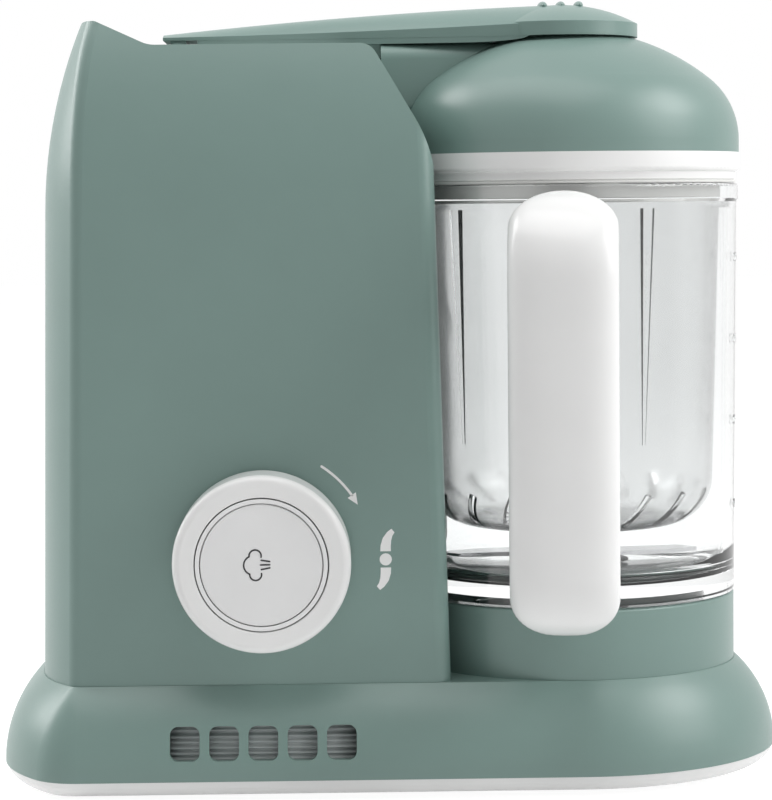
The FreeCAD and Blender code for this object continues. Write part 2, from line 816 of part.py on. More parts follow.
def rear_slots():
    body = new_body("RearSlots")
    for number in range(int(value("rear_slot_count"))):
        sketch = sketch_on(body, "XZ_Plane", "0 - body_half_depth - tower_wall")
        x = f"0 - motor_x + ({number} - (rear_slot_count - 1)/2)*rear_slot_pitch"
        corner = "rear_slot_width*0.49"
        round_box(sketch, x, "deck_z + lean_start/2", "rear_slot_width", "rear_slot_height", corner)
        pad(body, sketch, "3*tower_wall")
    return body


def tower_covers():
    outer = tower_block("TowerOuter", "0", False)
    inner = tower_block("TowerInner", "tower_wall", True)
    knob_hole = rod("KnobHole", "0 - knob_x", "0 - body_half_depth - tower_wall", "knob_height",
                    "knob_neck + slip", "3*tower_wall", "Y")
    gland_hole = rod("GlandHole", "0 - motor_x", "body_half_depth - 2*tower_wall", "deck_z + gland_height",
                     "gland_radius - gland_bore/2 + slip", "4*tower_wall", "Y")
    outlet_hole = rod("OutletHole", neg("boiler_x"), "0", "outlet_z", "outlet_radius + slip", "boiler_x", "X")
    grip_hole = grip_outline("GripHole", "slip")
    shell = cut("TowerShell", outer, inner, knob_hole, gland_hole, outlet_hole, grip_hole, rear_slots())
    size = "2*tower_reach"
    front = block("FrontHalf", f"0 - {size}", f"tower_split - {size}", "0", size, size, size)
    rear = block("RearHalf", f"0 - {size}", "tower_split", "0", size, size, size)
    node("tower_front_cover", common("TowerFront", shell, front))
    node("tower_rear_cover", common("TowerRear", shell, rear))


def grip_insert():
    outer = tower_block("GripOuter", "grip_depth", True)
    inner = tower_block("GripInner", "(grip_depth + grip_thick)", True)
    skin = cut("GripSkin", outer, inner)
    return node("grip_insert", common("GripInsert", skin, grip_outline("GripPlan", "0")))


def cord_gland():
    z = "deck_z + gland_height"
    inner = "body_half_depth - tower_wall"
    collar = rod("GlandCollar", "0 - motor_x", "body_half_depth", z, "gland_radius", "gland_stand", "Y")
    neck = rod("GlandNeck", "0 - motor_x", f"{inner} - gland_stand", z, "gland_radius - gland_bore/2",
               "tower_wall + gland_stand", "Y")
    nut = rod("GlandNut", "0 - motor_x", f"{inner} - gland_stand", z, "gland_radius", "gland_stand", "Y")
    bore = rod("GlandBore", "0 - motor_x", f"{inner} - 2*gland_stand", z, "gland_bore", "6*gland_stand", "Y")
    return node("cord_gland", cut("CordGland", fuse("GlandBody", collar, neck, nut), bore))


# Boiler and hinge
def turned_at_boiler(name, profile):
    return place(turned(name, profile), neg("boiler_x"), "0", "0")


def top_deck():
    fit = tower_block("DeckFit", "(tower_wall + slip)", True)
    left = "(well_left + 2*top_deck_thick)"
    slab = block("DeckSlab", neg(left), neg("body_half_depth"), "top_deck_z - top_deck_thick",
                 left, "2*body_half_depth", "top_deck_thick")
    plate = common("DeckPlate", fit, slab)
    ears = []
    for y in ("knuckle_half + slip", neg("knuckle_half + slip + ear_thick")):
        ears.append(block("EarFoot", neg("hinge_x + knuckle_radius"), y, "top_deck_z - top_deck_thick/2",
                          "2*knuckle_radius", "ear_thick", "hinge_lift + top_deck_thick/2"))
        ears.append(rod("EarEye", neg("hinge_x"), y, "hinge_z", "knuckle_radius", "ear_thick", "Y"))
    mouth = rod("DeckMouth", neg("boiler_x"), "0", "deck_z", "boiler_radius + slip", "tower_rise")
    bore = rod("EarBore", neg("hinge_x"), neg("body_half_depth"), "hinge_z", "hinge_pin",
               "2*body_half_depth", "Y")
    return node("top_deck", cut("TopDeck", fuse("DeckEars", plate, *ears), mouth, bore))


def hinge_pin():
    half = "(knuckle_half + slip + ear_thick)"
    pin = rod("HingePin", neg("hinge_x"), neg(half), "hinge_z", "hinge_pin", f"2*{half}", "Y")
    return node("hinge_pin", pin)


def boiler():
    low = "(top_deck_z - boiler_depth)"
    wall = "boiler_wall"
    bowl = turned_at_boiler("BoilerTurned", [
        ("0", low), ("boiler_radius - boiler_corner", low, "boiler_corner", 1),
        ("boiler_radius", f"{low} + boiler_corner"), ("boiler_radius", "top_deck_z"),
        ("boiler_flange", "top_deck_z"), ("boiler_flange", f"top_deck_z + {wall}"),
        (f"boiler_radius - {wall}", f"top_deck_z + {wall}"),
        (f"boiler_radius - {wall}", f"{low} + boiler_corner", f"boiler_corner - {wall}", -1),
        ("boiler_radius - boiler_corner", f"{low} + {wall}"), ("0", f"{low} + {wall}"),
    ])
    steam_hole = rod("SteamHole", neg("boiler_x"), "0", "outlet_z", "outlet_bore", "boiler_x", "X")
    node("boiler_bowl", cut("BoilerBowl", bowl, steam_hole))
    reach = "(boiler_x - cradle_radius - slip)"
    pipe = rod("OutletPipe", neg("boiler_x"), "0", "outlet_z", "outlet_radius", reach, "X")
    side = rod("OutletSide", neg("boiler_x"), "0", "deck_z", "boiler_radius", "tower_rise")
    node("steam_outlet", cut("SteamOutlet", pipe, side, steam_hole))
    ring = DOC.addObject("Part::Torus", "HeaterRing")
    bind(ring, "Radius1", "heater_ring")
    bind(ring, "Radius2", "heater_tube")
    place(ring, neg("boiler_x"), "0", f"{low} - heater_tube - slip")
    legs = [rod("HeaterLeg", neg("boiler_x"), y, f"{low} - 4*heater_tube", "heater_tube/2", "3*heater_tube")
            for y in ("heater_ring", neg("heater_ring"))]
    node("heating_element", fuse("HeatingElement", ring, *legs))
    disc = rod("ThermostatDisc", neg("boiler_x"), "0", f"{low} - slip - thermostat_depth",
               "thermostat_radius", "thermostat_depth")
    tags = [block("ThermostatTag", neg("boiler_x + boiler_wall/2"), y, f"{low} - slip - 2*thermostat_depth",
                  "boiler_wall", "boiler_wall", "thermostat_depth")
            for y in ("thermostat_radius/2", neg("thermostat_radius/2 + boiler_wall"))]
    node("thermostat", fuse("Thermostat", disc, *tags))


# Knob, light ring and button
def facing_front(name, profile):
    """A body turned about the knob's axis; heights run out from the tower's front face."""
    body = turned(name, profile)
    body.Placement.Rotation = FreeCAD.Rotation(FreeCAD.Vector(1, 0, 0), 90)
    return place(body, neg("knob_x"), neg("body_half_depth"), "knob_height")


def knob_parts():
    catch = "(tower_wall + slip)"
    deep = f"({catch} + core_plate)"
    gap = "2*slip"
    node("knob_ring", facing_front("KnobRing", [
        ("knob_bore", neg(deep)), ("knob_neck + knob_catch", neg(deep)),
        ("knob_neck + knob_catch", neg(catch)), ("knob_neck", neg(catch)),
        ("knob_neck", gap), ("knob_radius - knob_catch/2", gap), ("knob_radius", f"{gap} + knob_catch/2"),
        ("knob_radius", "knob_stand - knob_round", "knob_round", 1),
        ("knob_radius - knob_round", "knob_stand"),
        ("knob_bore + slip", "knob_stand"), ("knob_bore", "knob_stand - slip"),
    ]))
    seat = "(knob_stand - button_thick - slip)"
    back = f"({deep} + 2*slip)"
    bore = "(light_radius - core_wall)"
    web = "(knob_stand/3)"
    tube = facing_front("KnobTube", [
        ("button_stem + run_fit", web), ("button_stem + run_fit", f"{web} + core_plate"),
        (bore, f"{web} + core_plate"), (bore, seat), ("light_radius", seat), ("light_radius", neg(back)),
        ("core_plate_radius", neg(back)), ("core_plate_radius", neg(f"{back} + core_plate")),
        (bore, neg(f"{back} + core_plate")), (bore, web),
    ])
    posts = []
    for turn in range(3):
        x = f"0 - knob_x + (core_plate_radius - core_wall)*cos({120 * turn + 90})"
        z = f"knob_height + (core_plate_radius - core_wall)*sin({120 * turn + 90})"
        posts.append(rod("KnobPost", x, "tower_wall - body_half_depth", z, "core_wall*0.8",
                         f"{back} - tower_wall + core_plate + core_wall", "Y"))
    node("knob_core", fuse("KnobCore", tube, *posts))
    inner = "(light_radius - light_width)"
    node("light_ring", facing_front("LightRing", [
        (inner, seat), ("light_radius", seat), ("light_radius", "knob_stand"), (inner, "knob_stand"),
    ]))
    face = f"({inner} - slip)"
    rest = "(knob_stand - slip)"
    thick = "(button_thick/2)"
    node("steam_button", facing_front("SteamButton", [
        ("0", "0 - core_plate"), ("button_stem", "0 - core_plate"), ("button_stem", f"{rest} - {thick}"),
        (face, f"{rest} - {thick}"), (face, f"{rest} - slip", "slip", 1),
        (f"{face} - slip", rest), ("0", rest),
    ]))
    board_y = f"({back} + core_plate + core_wall - body_half_depth)"
    plate = block("BoardPlate", neg("knob_x + board_width/2"), board_y, "knob_height - board_height/2",
                  "board_width", "board_thick", "board_height")
    relay = block("BoardRelay", neg("knob_x + board_width*0.45"), f"{board_y} + board_thick",
                  "knob_height + board_height*0.2", "board_width*0.4", "core_plate_radius*0.4",
                  "board_height*0.25")
    can = rod("BoardCan", "board_width*0.25 - knob_x", f"{board_y} + board_thick",
              "knob_height + board_height*0.3", "board_width*0.12", "core_plate_radius*0.4", "Y")
    socket = block("BoardSocket", neg("knob_x + board_width*0.35"), f"{board_y} + board_thick",
                   "knob_height - board_height*0.45", "board_width*0.7", "core_plate_radius*0.25",
                   "board_height*0.15")
    node("control_board", fuse("ControlBoard", plate, relay, can, socket))
    top = "(core_plate - body_half_depth + button_travel + slip)"
    base = block("SwitchBase", neg("knob_x + button_stem"), f"{board_y} - core_wall",
                 "knob_height - button_stem", "2*button_stem", "core_wall", "2*button_stem")
    plunger = rod("SwitchPlunger", neg("knob_x"), top, "knob_height", "button_stem/2",
                  f"{board_y} - core_wall - {top}", "Y")
    node("button_switch", fuse("ButtonSwitch", base, plunger))


# Motor and belt drive
MOTOR = (neg("motor_x"), "motor_y")


def on_motor(name, z, radius, height):
    return rod(name, *MOTOR, z, radius, height)


def motor_square(name, z, height, bore):
    """A square plate or stack with round corners on the motor's axis."""
    body = new_body(name)
    sketch = sketch_on(body, "XY_Plane", z)
    round_box(sketch, "0", "0", "2*stator_half", "2*stator_half", "stator_corner")
    circle(sketch, "0", "0", bore)
    pad(body, sketch, height)
    return place(body, *MOTOR, "0")


def motor_posts(z, height):
    spread = ("frame_post_spread", neg("frame_post_spread"))
    return [rod("MotorPost", f"{x} - motor_x", f"motor_y + {y}", z, "frame_post", height)
            for x in spread for y in spread]


def motor_mount():
    half = "motor_plate_half"
    z = "deck_z + motor_plate_lift"
    plate = block("MountPlate", neg(f"motor_x + {half}"), f"motor_y - {half}", z, f"2*{half}", f"2*{half}",
                  "motor_plate_thick")
    inset = f"({half} - frame_post - slip)"
    rise = "motor_plate_lift + slip"
    legs = [rod("MountLeg", f"{x} - motor_x", f"motor_y + {y}", "deck_z", "frame_post", rise)
            for x in (inset, neg(inset)) for y in (inset, neg(inset))]
    hole = on_motor("MountHole", "deck_z", "motor_shaft + 2*bush_wall", "tower_rise")
    node("motor_mount", cut("MotorMount", fuse("MountBody", plate, *legs), hole))


def motor():
    low = "(deck_z + motor_plate_lift + motor_plate_thick)"
    stack = f"({low} + stator_lift)"
    head = f"({stack} + stator_height)"
    cap = f"({head} + 2*coil_height + commutator_height*0.7)"
    bush = "(motor_shaft + bush_wall)"
    lower = motor_square("LowerFrame", low, "frame_thick", bush)
    node("motor_lower_frame", fuse("MotorLowerFrame", lower,
                                   *motor_posts(f"{low} + frame_thick", "stator_lift - frame_thick")))
    upper = motor_square("UpperFrame", cap, "frame_thick", bush)
    node("motor_upper_frame", fuse("MotorUpperFrame", upper, *motor_posts(head, f"{cap} - {head}")))
    node("motor_stator", motor_square("MotorStator", stack, "stator_height", "stator_bore"))
    coils = []
    for z in (f"{stack} - coil_height", head):
        coils.append(cut("FieldCoil", on_motor("CoilOuter", z, "coil_radius", "coil_height"),
                         on_motor("CoilInner", z, "stator_bore", "coil_height")))
    node("field_coils", group("FieldCoils", *coils))
    bushes = []
    for z in (low, cap):
        bushes.append(cut("MotorBush", on_motor("BushOuter", z, bush, "frame_thick"),
                          on_motor("BushInner", z, "motor_shaft + run_fit", "frame_thick")))
    node("motor_bushes", group("MotorBushes", *bushes))
    brush_z = f"({cap} - commutator_height*0.8)"
    brush = "(commutator_height*0.6)"
    reach = "(stator_half - commutator_radius - slip)"
    near = "(commutator_radius + slip)"
    brushes = [block("Brush", x, f"motor_y - {brush}/2", brush_z, reach, brush, f"{cap} - {brush_z}")
               for x in (f"{near} - motor_x", neg(f"motor_x + {near} + {reach}"))]
    node("carbon_brushes", group("CarbonBrushes", *brushes))
    shaft_low = "(belt_z - 3*pulley_flange)"
    fan_z = f"({cap} + frame_thick + 2*slip)"
    length = f"{fan_z} + fan_height - {shaft_low}"
    node("motor_shaft", on_motor("MotorShaft", shaft_low, "motor_shaft", length))
    armature(stack)
    drum = on_motor("CommutatorDrum", f"{cap} - commutator_height - slip", "commutator_radius",
                    "commutator_height")
    bore = on_motor("CommutatorBore", head, "motor_shaft", f"{cap} - {head}")
    node("commutator", cut("Commutator", drum, bore))
    cooling_fan(fan_z)


def armature(stack):
    body = new_body("Armature")
    sketch = sketch_on(body, "XY_Plane", f"{stack} + slip")
    circle(sketch, "0", "0", "armature_radius")
    circle(sketch, "0", "0", "motor_shaft")
    pad(body, sketch, "stator_height - 2*slip")
    for z, back in ((f"{stack} + slip", True), (f"{stack} + stator_height - slip", False)):
        sketch = sketch_on(body, "XY_Plane", z)
        circle(sketch, "0", "0", "armature_radius - 2*armature_slot")
        circle(sketch, "0", "0", "motor_shaft")
        pad(body, sketch, "coil_height", back=back)
    sketch = sketch_on(body, "XY_Plane", f"{stack} - coil_height")
    rectangle(sketch, "armature_radius - 2*armature_slot", "0 - armature_slot/2", "armature_radius + slip",
              "armature_slot/2")
    slot = pocket(body, sketch, "stator_height + 2*coil_height", back=True)
    around(body, [slot], "armature_slots")
    node("armature", place(body, *MOTOR, "0"))


def cooling_fan(z):
    body = new_body("CoolingFan")
    sketch = sketch_on(body, "XY_Plane", z)
    circle(sketch, "0", "0", "fan_radius")
    circle(sketch, "0", "0", "motor_shaft")
    pad(body, sketch, "frame_thick/2")
    sketch = sketch_on(body, "XY_Plane", z)
    circle(sketch, "0", "0", "motor_shaft + bush_wall")
    circle(sketch, "0", "0", "motor_shaft")
    pad(body, sketch, "fan_height")
    sketch = sketch_on(body, "XY_Plane", z)
    start, end, thick = "(fan_radius*0.4)", "(fan_radius - slip)", "(frame_thick/3)"
    draw(sketch, [
        (start, "0", "fan_radius", 1), (end, "fan_radius*0.2"),
        (end, f"fan_radius*0.2 + {thick}", "fan_radius", -1), (start, thick),
    ])
    blade = pad(body, sketch, "fan_height")
    around(body, [blade], "fan_blades")
    node("cooling_fan", place(body, *MOTOR, "0"))


def pulley(name, radius, bore):
    """A flat pulley with a flange on each side of the belt."""
    low, high = "(belt_z - slip)", "(belt_z + belt_width + slip)"
    side = f"({radius} + pulley_flange)"
    return turned(name, [
        (bore, f"{low} - pulley_flange"), (side, f"{low} - pulley_flange"),
        (side, f"{low} - pulley_flange/2"), (radius, low), (radius, high),
        (side, f"{high} + pulley_flange/2"), (side, f"{high} + pulley_flange"),
        (bore, f"{high} + pulley_flange"),
    ])


def belt_loop(sketch, offset):
    """A loop about both pulleys, with the driven pulley at the origin and the motor on the -X side."""
    big, small = f"(driven_pulley + {offset})", f"(motor_pulley + {offset})"
    run = "belt_run"
    lean = f"((driven_pulley - motor_pulley)/{run})"
    rise = f"sqrt(1 - {lean}^2)"
    draw(sketch, [
        (neg(f"{big}*{lean}"), neg(f"{big}*{rise}"), big, 1), (big, "0", big, 1),
        (neg(f"{big}*{lean}"), f"{big}*{rise}"),
        (neg(f"{run} + {small}*{lean}"), f"{small}*{rise}", small, 1),
        (neg(f"{run} + {small}"), "0", small, 1), (neg(f"{run} + {small}*{lean}"), neg(f"{small}*{rise}")),
    ])


def belt_drive():
    node("motor_pulley", place(pulley("MotorPulley", "motor_pulley", "motor_shaft"), *MOTOR, "0"))
    wheel = pulley("DrivenPulley", "driven_pulley", "drive_shaft")
    sketch = sketch_on(wheel, "XY_Plane", "cover_z")
    circle(sketch, "(driven_pulley + drive_shaft)/2", "0", "driven_pulley/5")
    hole = pocket(wheel, sketch, "base_rise", back=True)
    around(wheel, [hole], "6")
    node("driven_pulley", wheel)
    belt = new_body("DriveBelt")
    sketch = sketch_on(belt, "XY_Plane", "belt_z")
    belt_loop(sketch, "slip + belt_thick")
    belt_loop(sketch, "slip")
    pad(belt, sketch, "belt_width")
    belt.Placement.Rotation = FreeCAD.Rotation(FreeCAD.Vector(0, 0, -1), 5)
    bind(belt, "Placement.Rotation.Angle", "atan(motor_y/motor_x)")
    node("drive_belt", belt)


# Jar seat and drive spindle
def jar_seat():
    radius, bore = "body_half_depth", "(body_half_depth - seat_wall)"
    edge = "(seat_wall/3)"
    hole = "(housing_radius + slip)"
    body = turned("JarSeat", [
        (hole, "deck_z"), (radius, "deck_z"), (radius, f"seat_z - {edge}", edge, 1),
        (f"{radius} - {edge}", "seat_z"), (bore, "seat_z"), (bore, "deck_z + seat_floor"),
        (hole, "deck_z + seat_floor"),
    ])
    sketch = sketch_on(body, "XZ_Plane")
    low = "(foot_z + lug_height + 2*slip)"
    rectangle(sketch, f"{bore} - tab_depth", low, f"{bore} + {edge}", f"{low} + tab_height")
    tab = revolve(body, sketch, "tab_angle", middle=True)
    around(body, [tab], "3")
    node("jar_seat", body)


def drive_spindle():
    low, high = "housing_low", "(deck_z + housing_climb)"
    under = "(deck_z - deck_thick)"
    bore, bush = "(drive_shaft + run_fit)", "(drive_shaft + spindle_bush)"
    node("spindle_housing", turned("SpindleHousing", [
        (bush, low), ("housing_radius", low), ("housing_radius", f"{under} - deck_thick"),
        ("housing_flange", f"{under} - deck_thick"), ("housing_flange", under), ("housing_radius", under),
        ("housing_radius", high), (bush, high),
    ]))
    length = "(housing_climb*0.7)"
    bushes = [turned("SpindleBush", [
        (bore, z), (bush, z), (bush, f"{z} + {length}"), (bore, f"{z} + {length}"),
    ]) for z in (low, f"({high} - {length})")]
    node("spindle_bushes", group("SpindleBushes", *bushes))
    start = "(belt_z - 2*pulley_flange)"
    node("drive_shaft", rod("DriveShaft", "0", "0", start, "drive_shaft", f"dog_z + dog_height - {start}"))
    star = dog_star("DogStar", "dog_z", "dog_height", "0")
    hole = rod("DogBore", "0", "0", "dog_z", "drive_shaft", "dog_height")
    node("drive_dog", cut("DriveDog", star, hole))


def dog_star(name, z, height, gap):
    """A hub with four driving arms, grown by a gap for the socket that fits over it."""
    arm, reach = f"(2*dog_arm + 2*{gap})", f"(2*dog_radius + 2*{gap})"
    along = block(name + "Along", neg(f"{reach}/2"), neg(f"{arm}/2"), z, reach, arm, height)
    across = block(name + "Across", neg(f"{arm}/2"), neg(f"{reach}/2"), z, arm, reach, height)
    hub = rod(name + "Hub", "0", "0", z, f"drive_shaft + dog_arm + {gap}", height)
    return fuse(name, along, across, hub)


# Jar, handle, basket and blade
def jar():
    under, floor = "(jar_z + jar_floor_lift)", "floor_z"
    hole = "(drive_shaft + bush_wall)"
    foot_bore = "(jar_foot - jar_foot_wall)"
    lip = "(jar_top_radius + rim_proud)"
    edge = "(2*rim_proud)"
    inner = "(jar_top_radius - jar_wall)"
    inner_low = "(jar_bottom_radius - jar_wall)"
    ledge = "(rim_z - rebate_depth)"
    body = turned("Jar", [
        (hole, under), (foot_bore, under), (foot_bore, "foot_z"), ("jar_foot", "foot_z"),
        ("jar_foot", "jar_z"), ("jar_bottom_radius", "jar_z"), ("jar_top_radius", "rim_z - rim_height"),
        (lip, f"rim_z - rim_height + {edge}"), (lip, f"rim_z - {edge}", edge, 1),
        (f"{lip} - {edge}", "rim_z"),
        (f"{inner} + rebate_width", "rim_z"), (f"{inner} + rebate_width", ledge), (inner, ledge),
        (inner_low, f"{floor} + jar_fillet", "jar_fillet", -1), (f"{inner_low} - jar_fillet", floor),
        (hole, floor),
    ])
    sketch = sketch_on(body, "XZ_Plane")
    rectangle(sketch, "jar_foot - jar_foot_wall/2", "foot_z", "jar_foot + lug_height", "foot_z + lug_height")
    lug = revolve(body, sketch, "tab_angle", middle=True)
    around(body, [lug], "3")
    node("jar", body)
    bore, flange = "(drive_shaft + run_fit)", "(drive_shaft + 2*bush_wall)"
    node("jar_bush", turned("JarBush", [
        (bore, f"{under} - bush_wall"), (hole, f"{under} - bush_wall"), (hole, floor), (flange, floor),
        (flange, f"{floor} + bush_wall/2"), (bore, f"{floor} + bush_wall/2"),
    ]))


def jar_handle():
    """A soft bar swept round a C-shaped path, then trimmed to its rounded front outline."""
    top = "(rim_z - handle_top_drop)"
    low = f"({top} - handle_length)"
    start = "(jar_bottom_radius - handle_end)"
    mid = "(handle_out - handle_thick/2)"
    high_arm, low_arm = f"({top} - handle_thick/2)", f"({low} + handle_thick/2)"
    body = new_body("HandleBar")
    section = sketch_on(body, "XZ_Plane", start)
    round_box(section, "0", high_arm, "handle_width", "handle_thick", "handle_round")
    path = sketch_on(body, "YZ_Plane")
    draw(path, [
        (neg(start), high_arm), (f"handle_bend - {mid}", high_arm, "handle_bend", 1),
        (neg(mid), f"{high_arm} - handle_bend"),
        (neg(mid), f"{low_arm} + handle_foot_bend", "handle_foot_bend", 1),
        (f"handle_foot_bend - {mid}", low_arm), (neg(start), low_arm),
    ], closed=False)
    sweep(body, section, path)
    sketch = sketch_on(body, "XZ_Plane")
    round_box(sketch, "0", f"({top} + {low})/2", "handle_width", "handle_length", "handle_end")
    rectangle(sketch, neg("handle_width"), f"{low} - handle_width", "handle_width", f"{top} + handle_width")
    pocket(body, sketch, "2*handle_out", back=True)
    body.Placement.Rotation = FreeCAD.Rotation(FreeCAD.Vector(0, 0, -1), 5)
    bind(body, "Placement.Rotation.Angle", "handle_angle")
    wall, rim = "(jar_bottom_radius + rim_proud)", "(jar_top_radius + rim_proud)"
    clear = turned("HandleClear", [
        ("0", f"{low} - slip"), (wall, f"{low} - slip"), (wall, "jar_z"), (rim, "rim_z - rim_height"),
        (rim, "rim_z"), ("0", "rim_z"),
    ])
    node("jar_handle", cut("JarHandle", body, clear))


def steam_basket():
    top = "(rim_z - rebate_depth)"
    low = f"({top} - basket_depth)"
    flange = "(jar_top_radius - jar_wall + rebate_width - slip)"
    radius, foot = "basket_top_radius", "(basket_top_radius - basket_taper)"
    corner, wall = "basket_corner", "basket_wall"
    body = turned("SteamBasket", [
        ("0", low), (f"{foot} - {corner}", low, corner, 1), (foot, f"{low} + {corner}"), (radius, top),
        (flange, top), (flange, f"{top} + basket_flange"), (f"{radius} - {wall}", f"{top} + basket_flange"),
        (f"{foot} - {wall}", f"{low} + {corner}", f"{corner} - {wall}", -1),
        (f"{foot} - {corner}", f"{low} + {wall}"), ("0", f"{low} + {wall}"),
    ])
    tip = f"({top} - rib_length)"
    root = f"({radius} - {wall}/2)"
    wedge = []
    for z, wide, proud in ((top, "rib_width/2", f"{radius} + rib_proud"),
                           (tip, "rib_width/8", f"{radius} - basket_taper*rib_length/basket_depth")):
        sketch = sketch_on(body, "XY_Plane", z)
        inner = f"{root} - basket_taper*({top} - {z})/basket_depth"
        rectangle(sketch, neg(wide), neg(proud), wide, neg(inner))
        wedge.append(sketch)
    rib = loft(body, wedge, ruled=True)
    around(body, [rib], "basket_ribs")
    sketch = sketch_on(body, "XZ_Plane", f"{foot} + {wall}")
    lean_x, lean_z = [f"basket_slot_length/2*{turn}(basket_slot_tilt)" for turn in ("sin", "cos")]
    half_x, half_z = [f"basket_slot_width/2*{turn}(basket_slot_tilt)" for turn in ("cos", "sin")]
    z = f"({low} + {corner}/2)"
    draw(sketch, [
        (f"0 - {lean_x} - {half_x}", f"{z} - {lean_z} + {half_z}"),
        (f"0 - {lean_x} + {half_x}", f"{z} - {lean_z} - {half_z}"),
        (f"{lean_x} + {half_x}", f"{z} + {lean_z} - {half_z}"),
        (f"{lean_x} - {half_x}", f"{z} + {lean_z} + {half_z}"),
    ])
    slot = pocket(body, sketch, f"{corner}*0.9")
    around(body, [slot], "basket_slots")
    sketch = sketch_on(body, "XY_Plane", f"{low} - slip")
    end = f"({foot} - {corner})"
    round_box(sketch, f"{end}*0.65", "0", f"{end}*0.5", "basket_slot_width", "basket_slot_width*0.45")
    hole = pocket(body, sketch, "2*basket_wall", back=True)
    around(body, [hole], "basket_holes")
    body.Placement.Rotation = FreeCAD.Rotation(FreeCAD.Vector(0, 0, 1), 5)
    bind(body, "Placement.Rotation.Angle", "rib_turn")
    node("steam_basket", body)


def blade_parts():
    plate_z, top = "(hub_z + hub_flange)", "(hub_z + hub_height)"
    node("blade_hub", turned("BladeHub", [
        ("drive_shaft", "hub_z"), ("hub_radius", "hub_z"), ("hub_radius", "hub_z + hub_flange/2"),
        ("hub_post + blade_thick", plate_z), ("hub_post", plate_z), ("hub_post", f"{top} - hub_flange"),
        ("hub_post/2", top), ("drive_shaft", top),
    ]))
    body = new_body("ChoppingBlade")
    sketch = sketch_on(body, "XY_Plane", plate_z)
    circle(sketch, "0", "0", "hub_post + blade_width/2")
    circle(sketch, "0", "0", "hub_post")
    pad(body, sketch, "blade_thick")
    sketch = sketch_on(body, "XY_Plane", plate_z)
    start = "(hub_post + blade_thick)"
    draw(sketch, [
        (start, "0 - blade_width/2", "blade_radius", 1), ("blade_radius", "blade_width/4"),
        ("blade_radius - blade_width/2", "blade_width*0.7", "1.5*blade_radius", -1), (start, "blade_width/2"),
    ])
    wing = pad(body, sketch, "blade_thick")
    around(body, [wing], "2")
    node("chopping_blade", body)
    low = "(dog_z + dog_height + slip)"
    node("blade_spindle", rod("BladeSpindle", "0", "0", low, "drive_shaft", f"{top} - {low}"))
    high = "(jar_z + jar_floor_lift - bush_wall - slip)"
    drum = rod("CouplerDrum", "0", "0", "dog_z + slip", "coupler_radius", f"{high} - dog_z - slip")
    socket = dog_star("CouplerSocket", "dog_z", "dog_height + slip", "slip")
    bore = rod("CouplerBore", "0", "0", "dog_z", "drive_shaft", "seat_rise")
    node("spindle_coupler", cut("SpindleCoupler", drum, socket, bore))


# Lid
def dome_steps(wall):
    """Half of the dome's section from its skirt to its top: a side arc that runs into the crown's arc."""
    side, crown = f"(dome_side - {wall})", f"(crown_radius - {wall})"
    reach = "(band_radius - dome_side)"
    ratio = f"{crown}/(crown_radius - dome_side)"
    return [
        (f"band_radius - {wall}", "dome_z"), (f"band_radius - {wall}", "crown_z", side, 1),
        (f"{reach}*{ratio}", f"apex_z - crown_radius + (crown_radius - dome_crown)*{ratio}", crown, 1),
        ("0", f"apex_z - {wall}"),
    ]


def lid_dome():
    solid = turned("DomeSolid", dome_steps("0") + [("0", "dome_z")])
    hollow = turned("DomeHollow", dome_steps("dome_wall") + [("0", "dome_z")])
    port = rod("DomePort", neg("bridge_start"), "0", "outlet_z", "bridge_bore", "bridge_start/2", "X")
    node("lid_dome", cut("LidDome", solid, hollow, port))
    return solid


def lid_rim():
    edge = "(band_bevel/3)"
    node("lid_rim", turned("LidRim", [
        ("rim_bore", "lip_z"), (f"lip_radius - {edge}", "lip_z"), ("lip_radius", f"lip_z + {edge}"),
        ("lip_radius", "band_z"), ("band_radius - band_bevel", "band_z", "band_bevel", 1),
        ("band_radius", "band_z + band_bevel"), ("band_radius", "dome_z"), ("rim_bore", "dome_z"),
    ]))
    skirt = "(seal_radius - seal_thick)"
    node("lid_seal", turned("LidSeal", [
        (skirt, "rim_z - seal_drop"), ("seal_radius", "rim_z - seal_drop"), ("seal_radius", "rim_z + slip"),
        ("jar_top_radius - rim_proud", "rim_z + slip"), ("jar_top_radius - rim_proud", "lip_z"),
        (skirt, "lip_z"),
    ]))


def steam_bridge(dome):
    body = new_body("BridgeBox")
    sketch = sketch_on(body, "YZ_Plane", neg("bridge_start"))
    round_box(sketch, "0", "outlet_z", "2*bridge_half", "bridge_height", "bridge_bore")
    pad(body, sketch, "bridge_start*0.7")
    web = block("BridgeWeb", neg("bridge_start - bridge_bore"), neg("bridge_half/2"), "outlet_z",
                "bridge_start/2", "bridge_half", "arm_z - outlet_z")
    bore = rod("BridgeBore", neg("bridge_start + slip"), "0", "outlet_z", "bridge_bore", "bridge_start", "X")
    node("steam_bridge", cut("SteamBridge", fuse("BridgeBody", body, web), dome, bore))


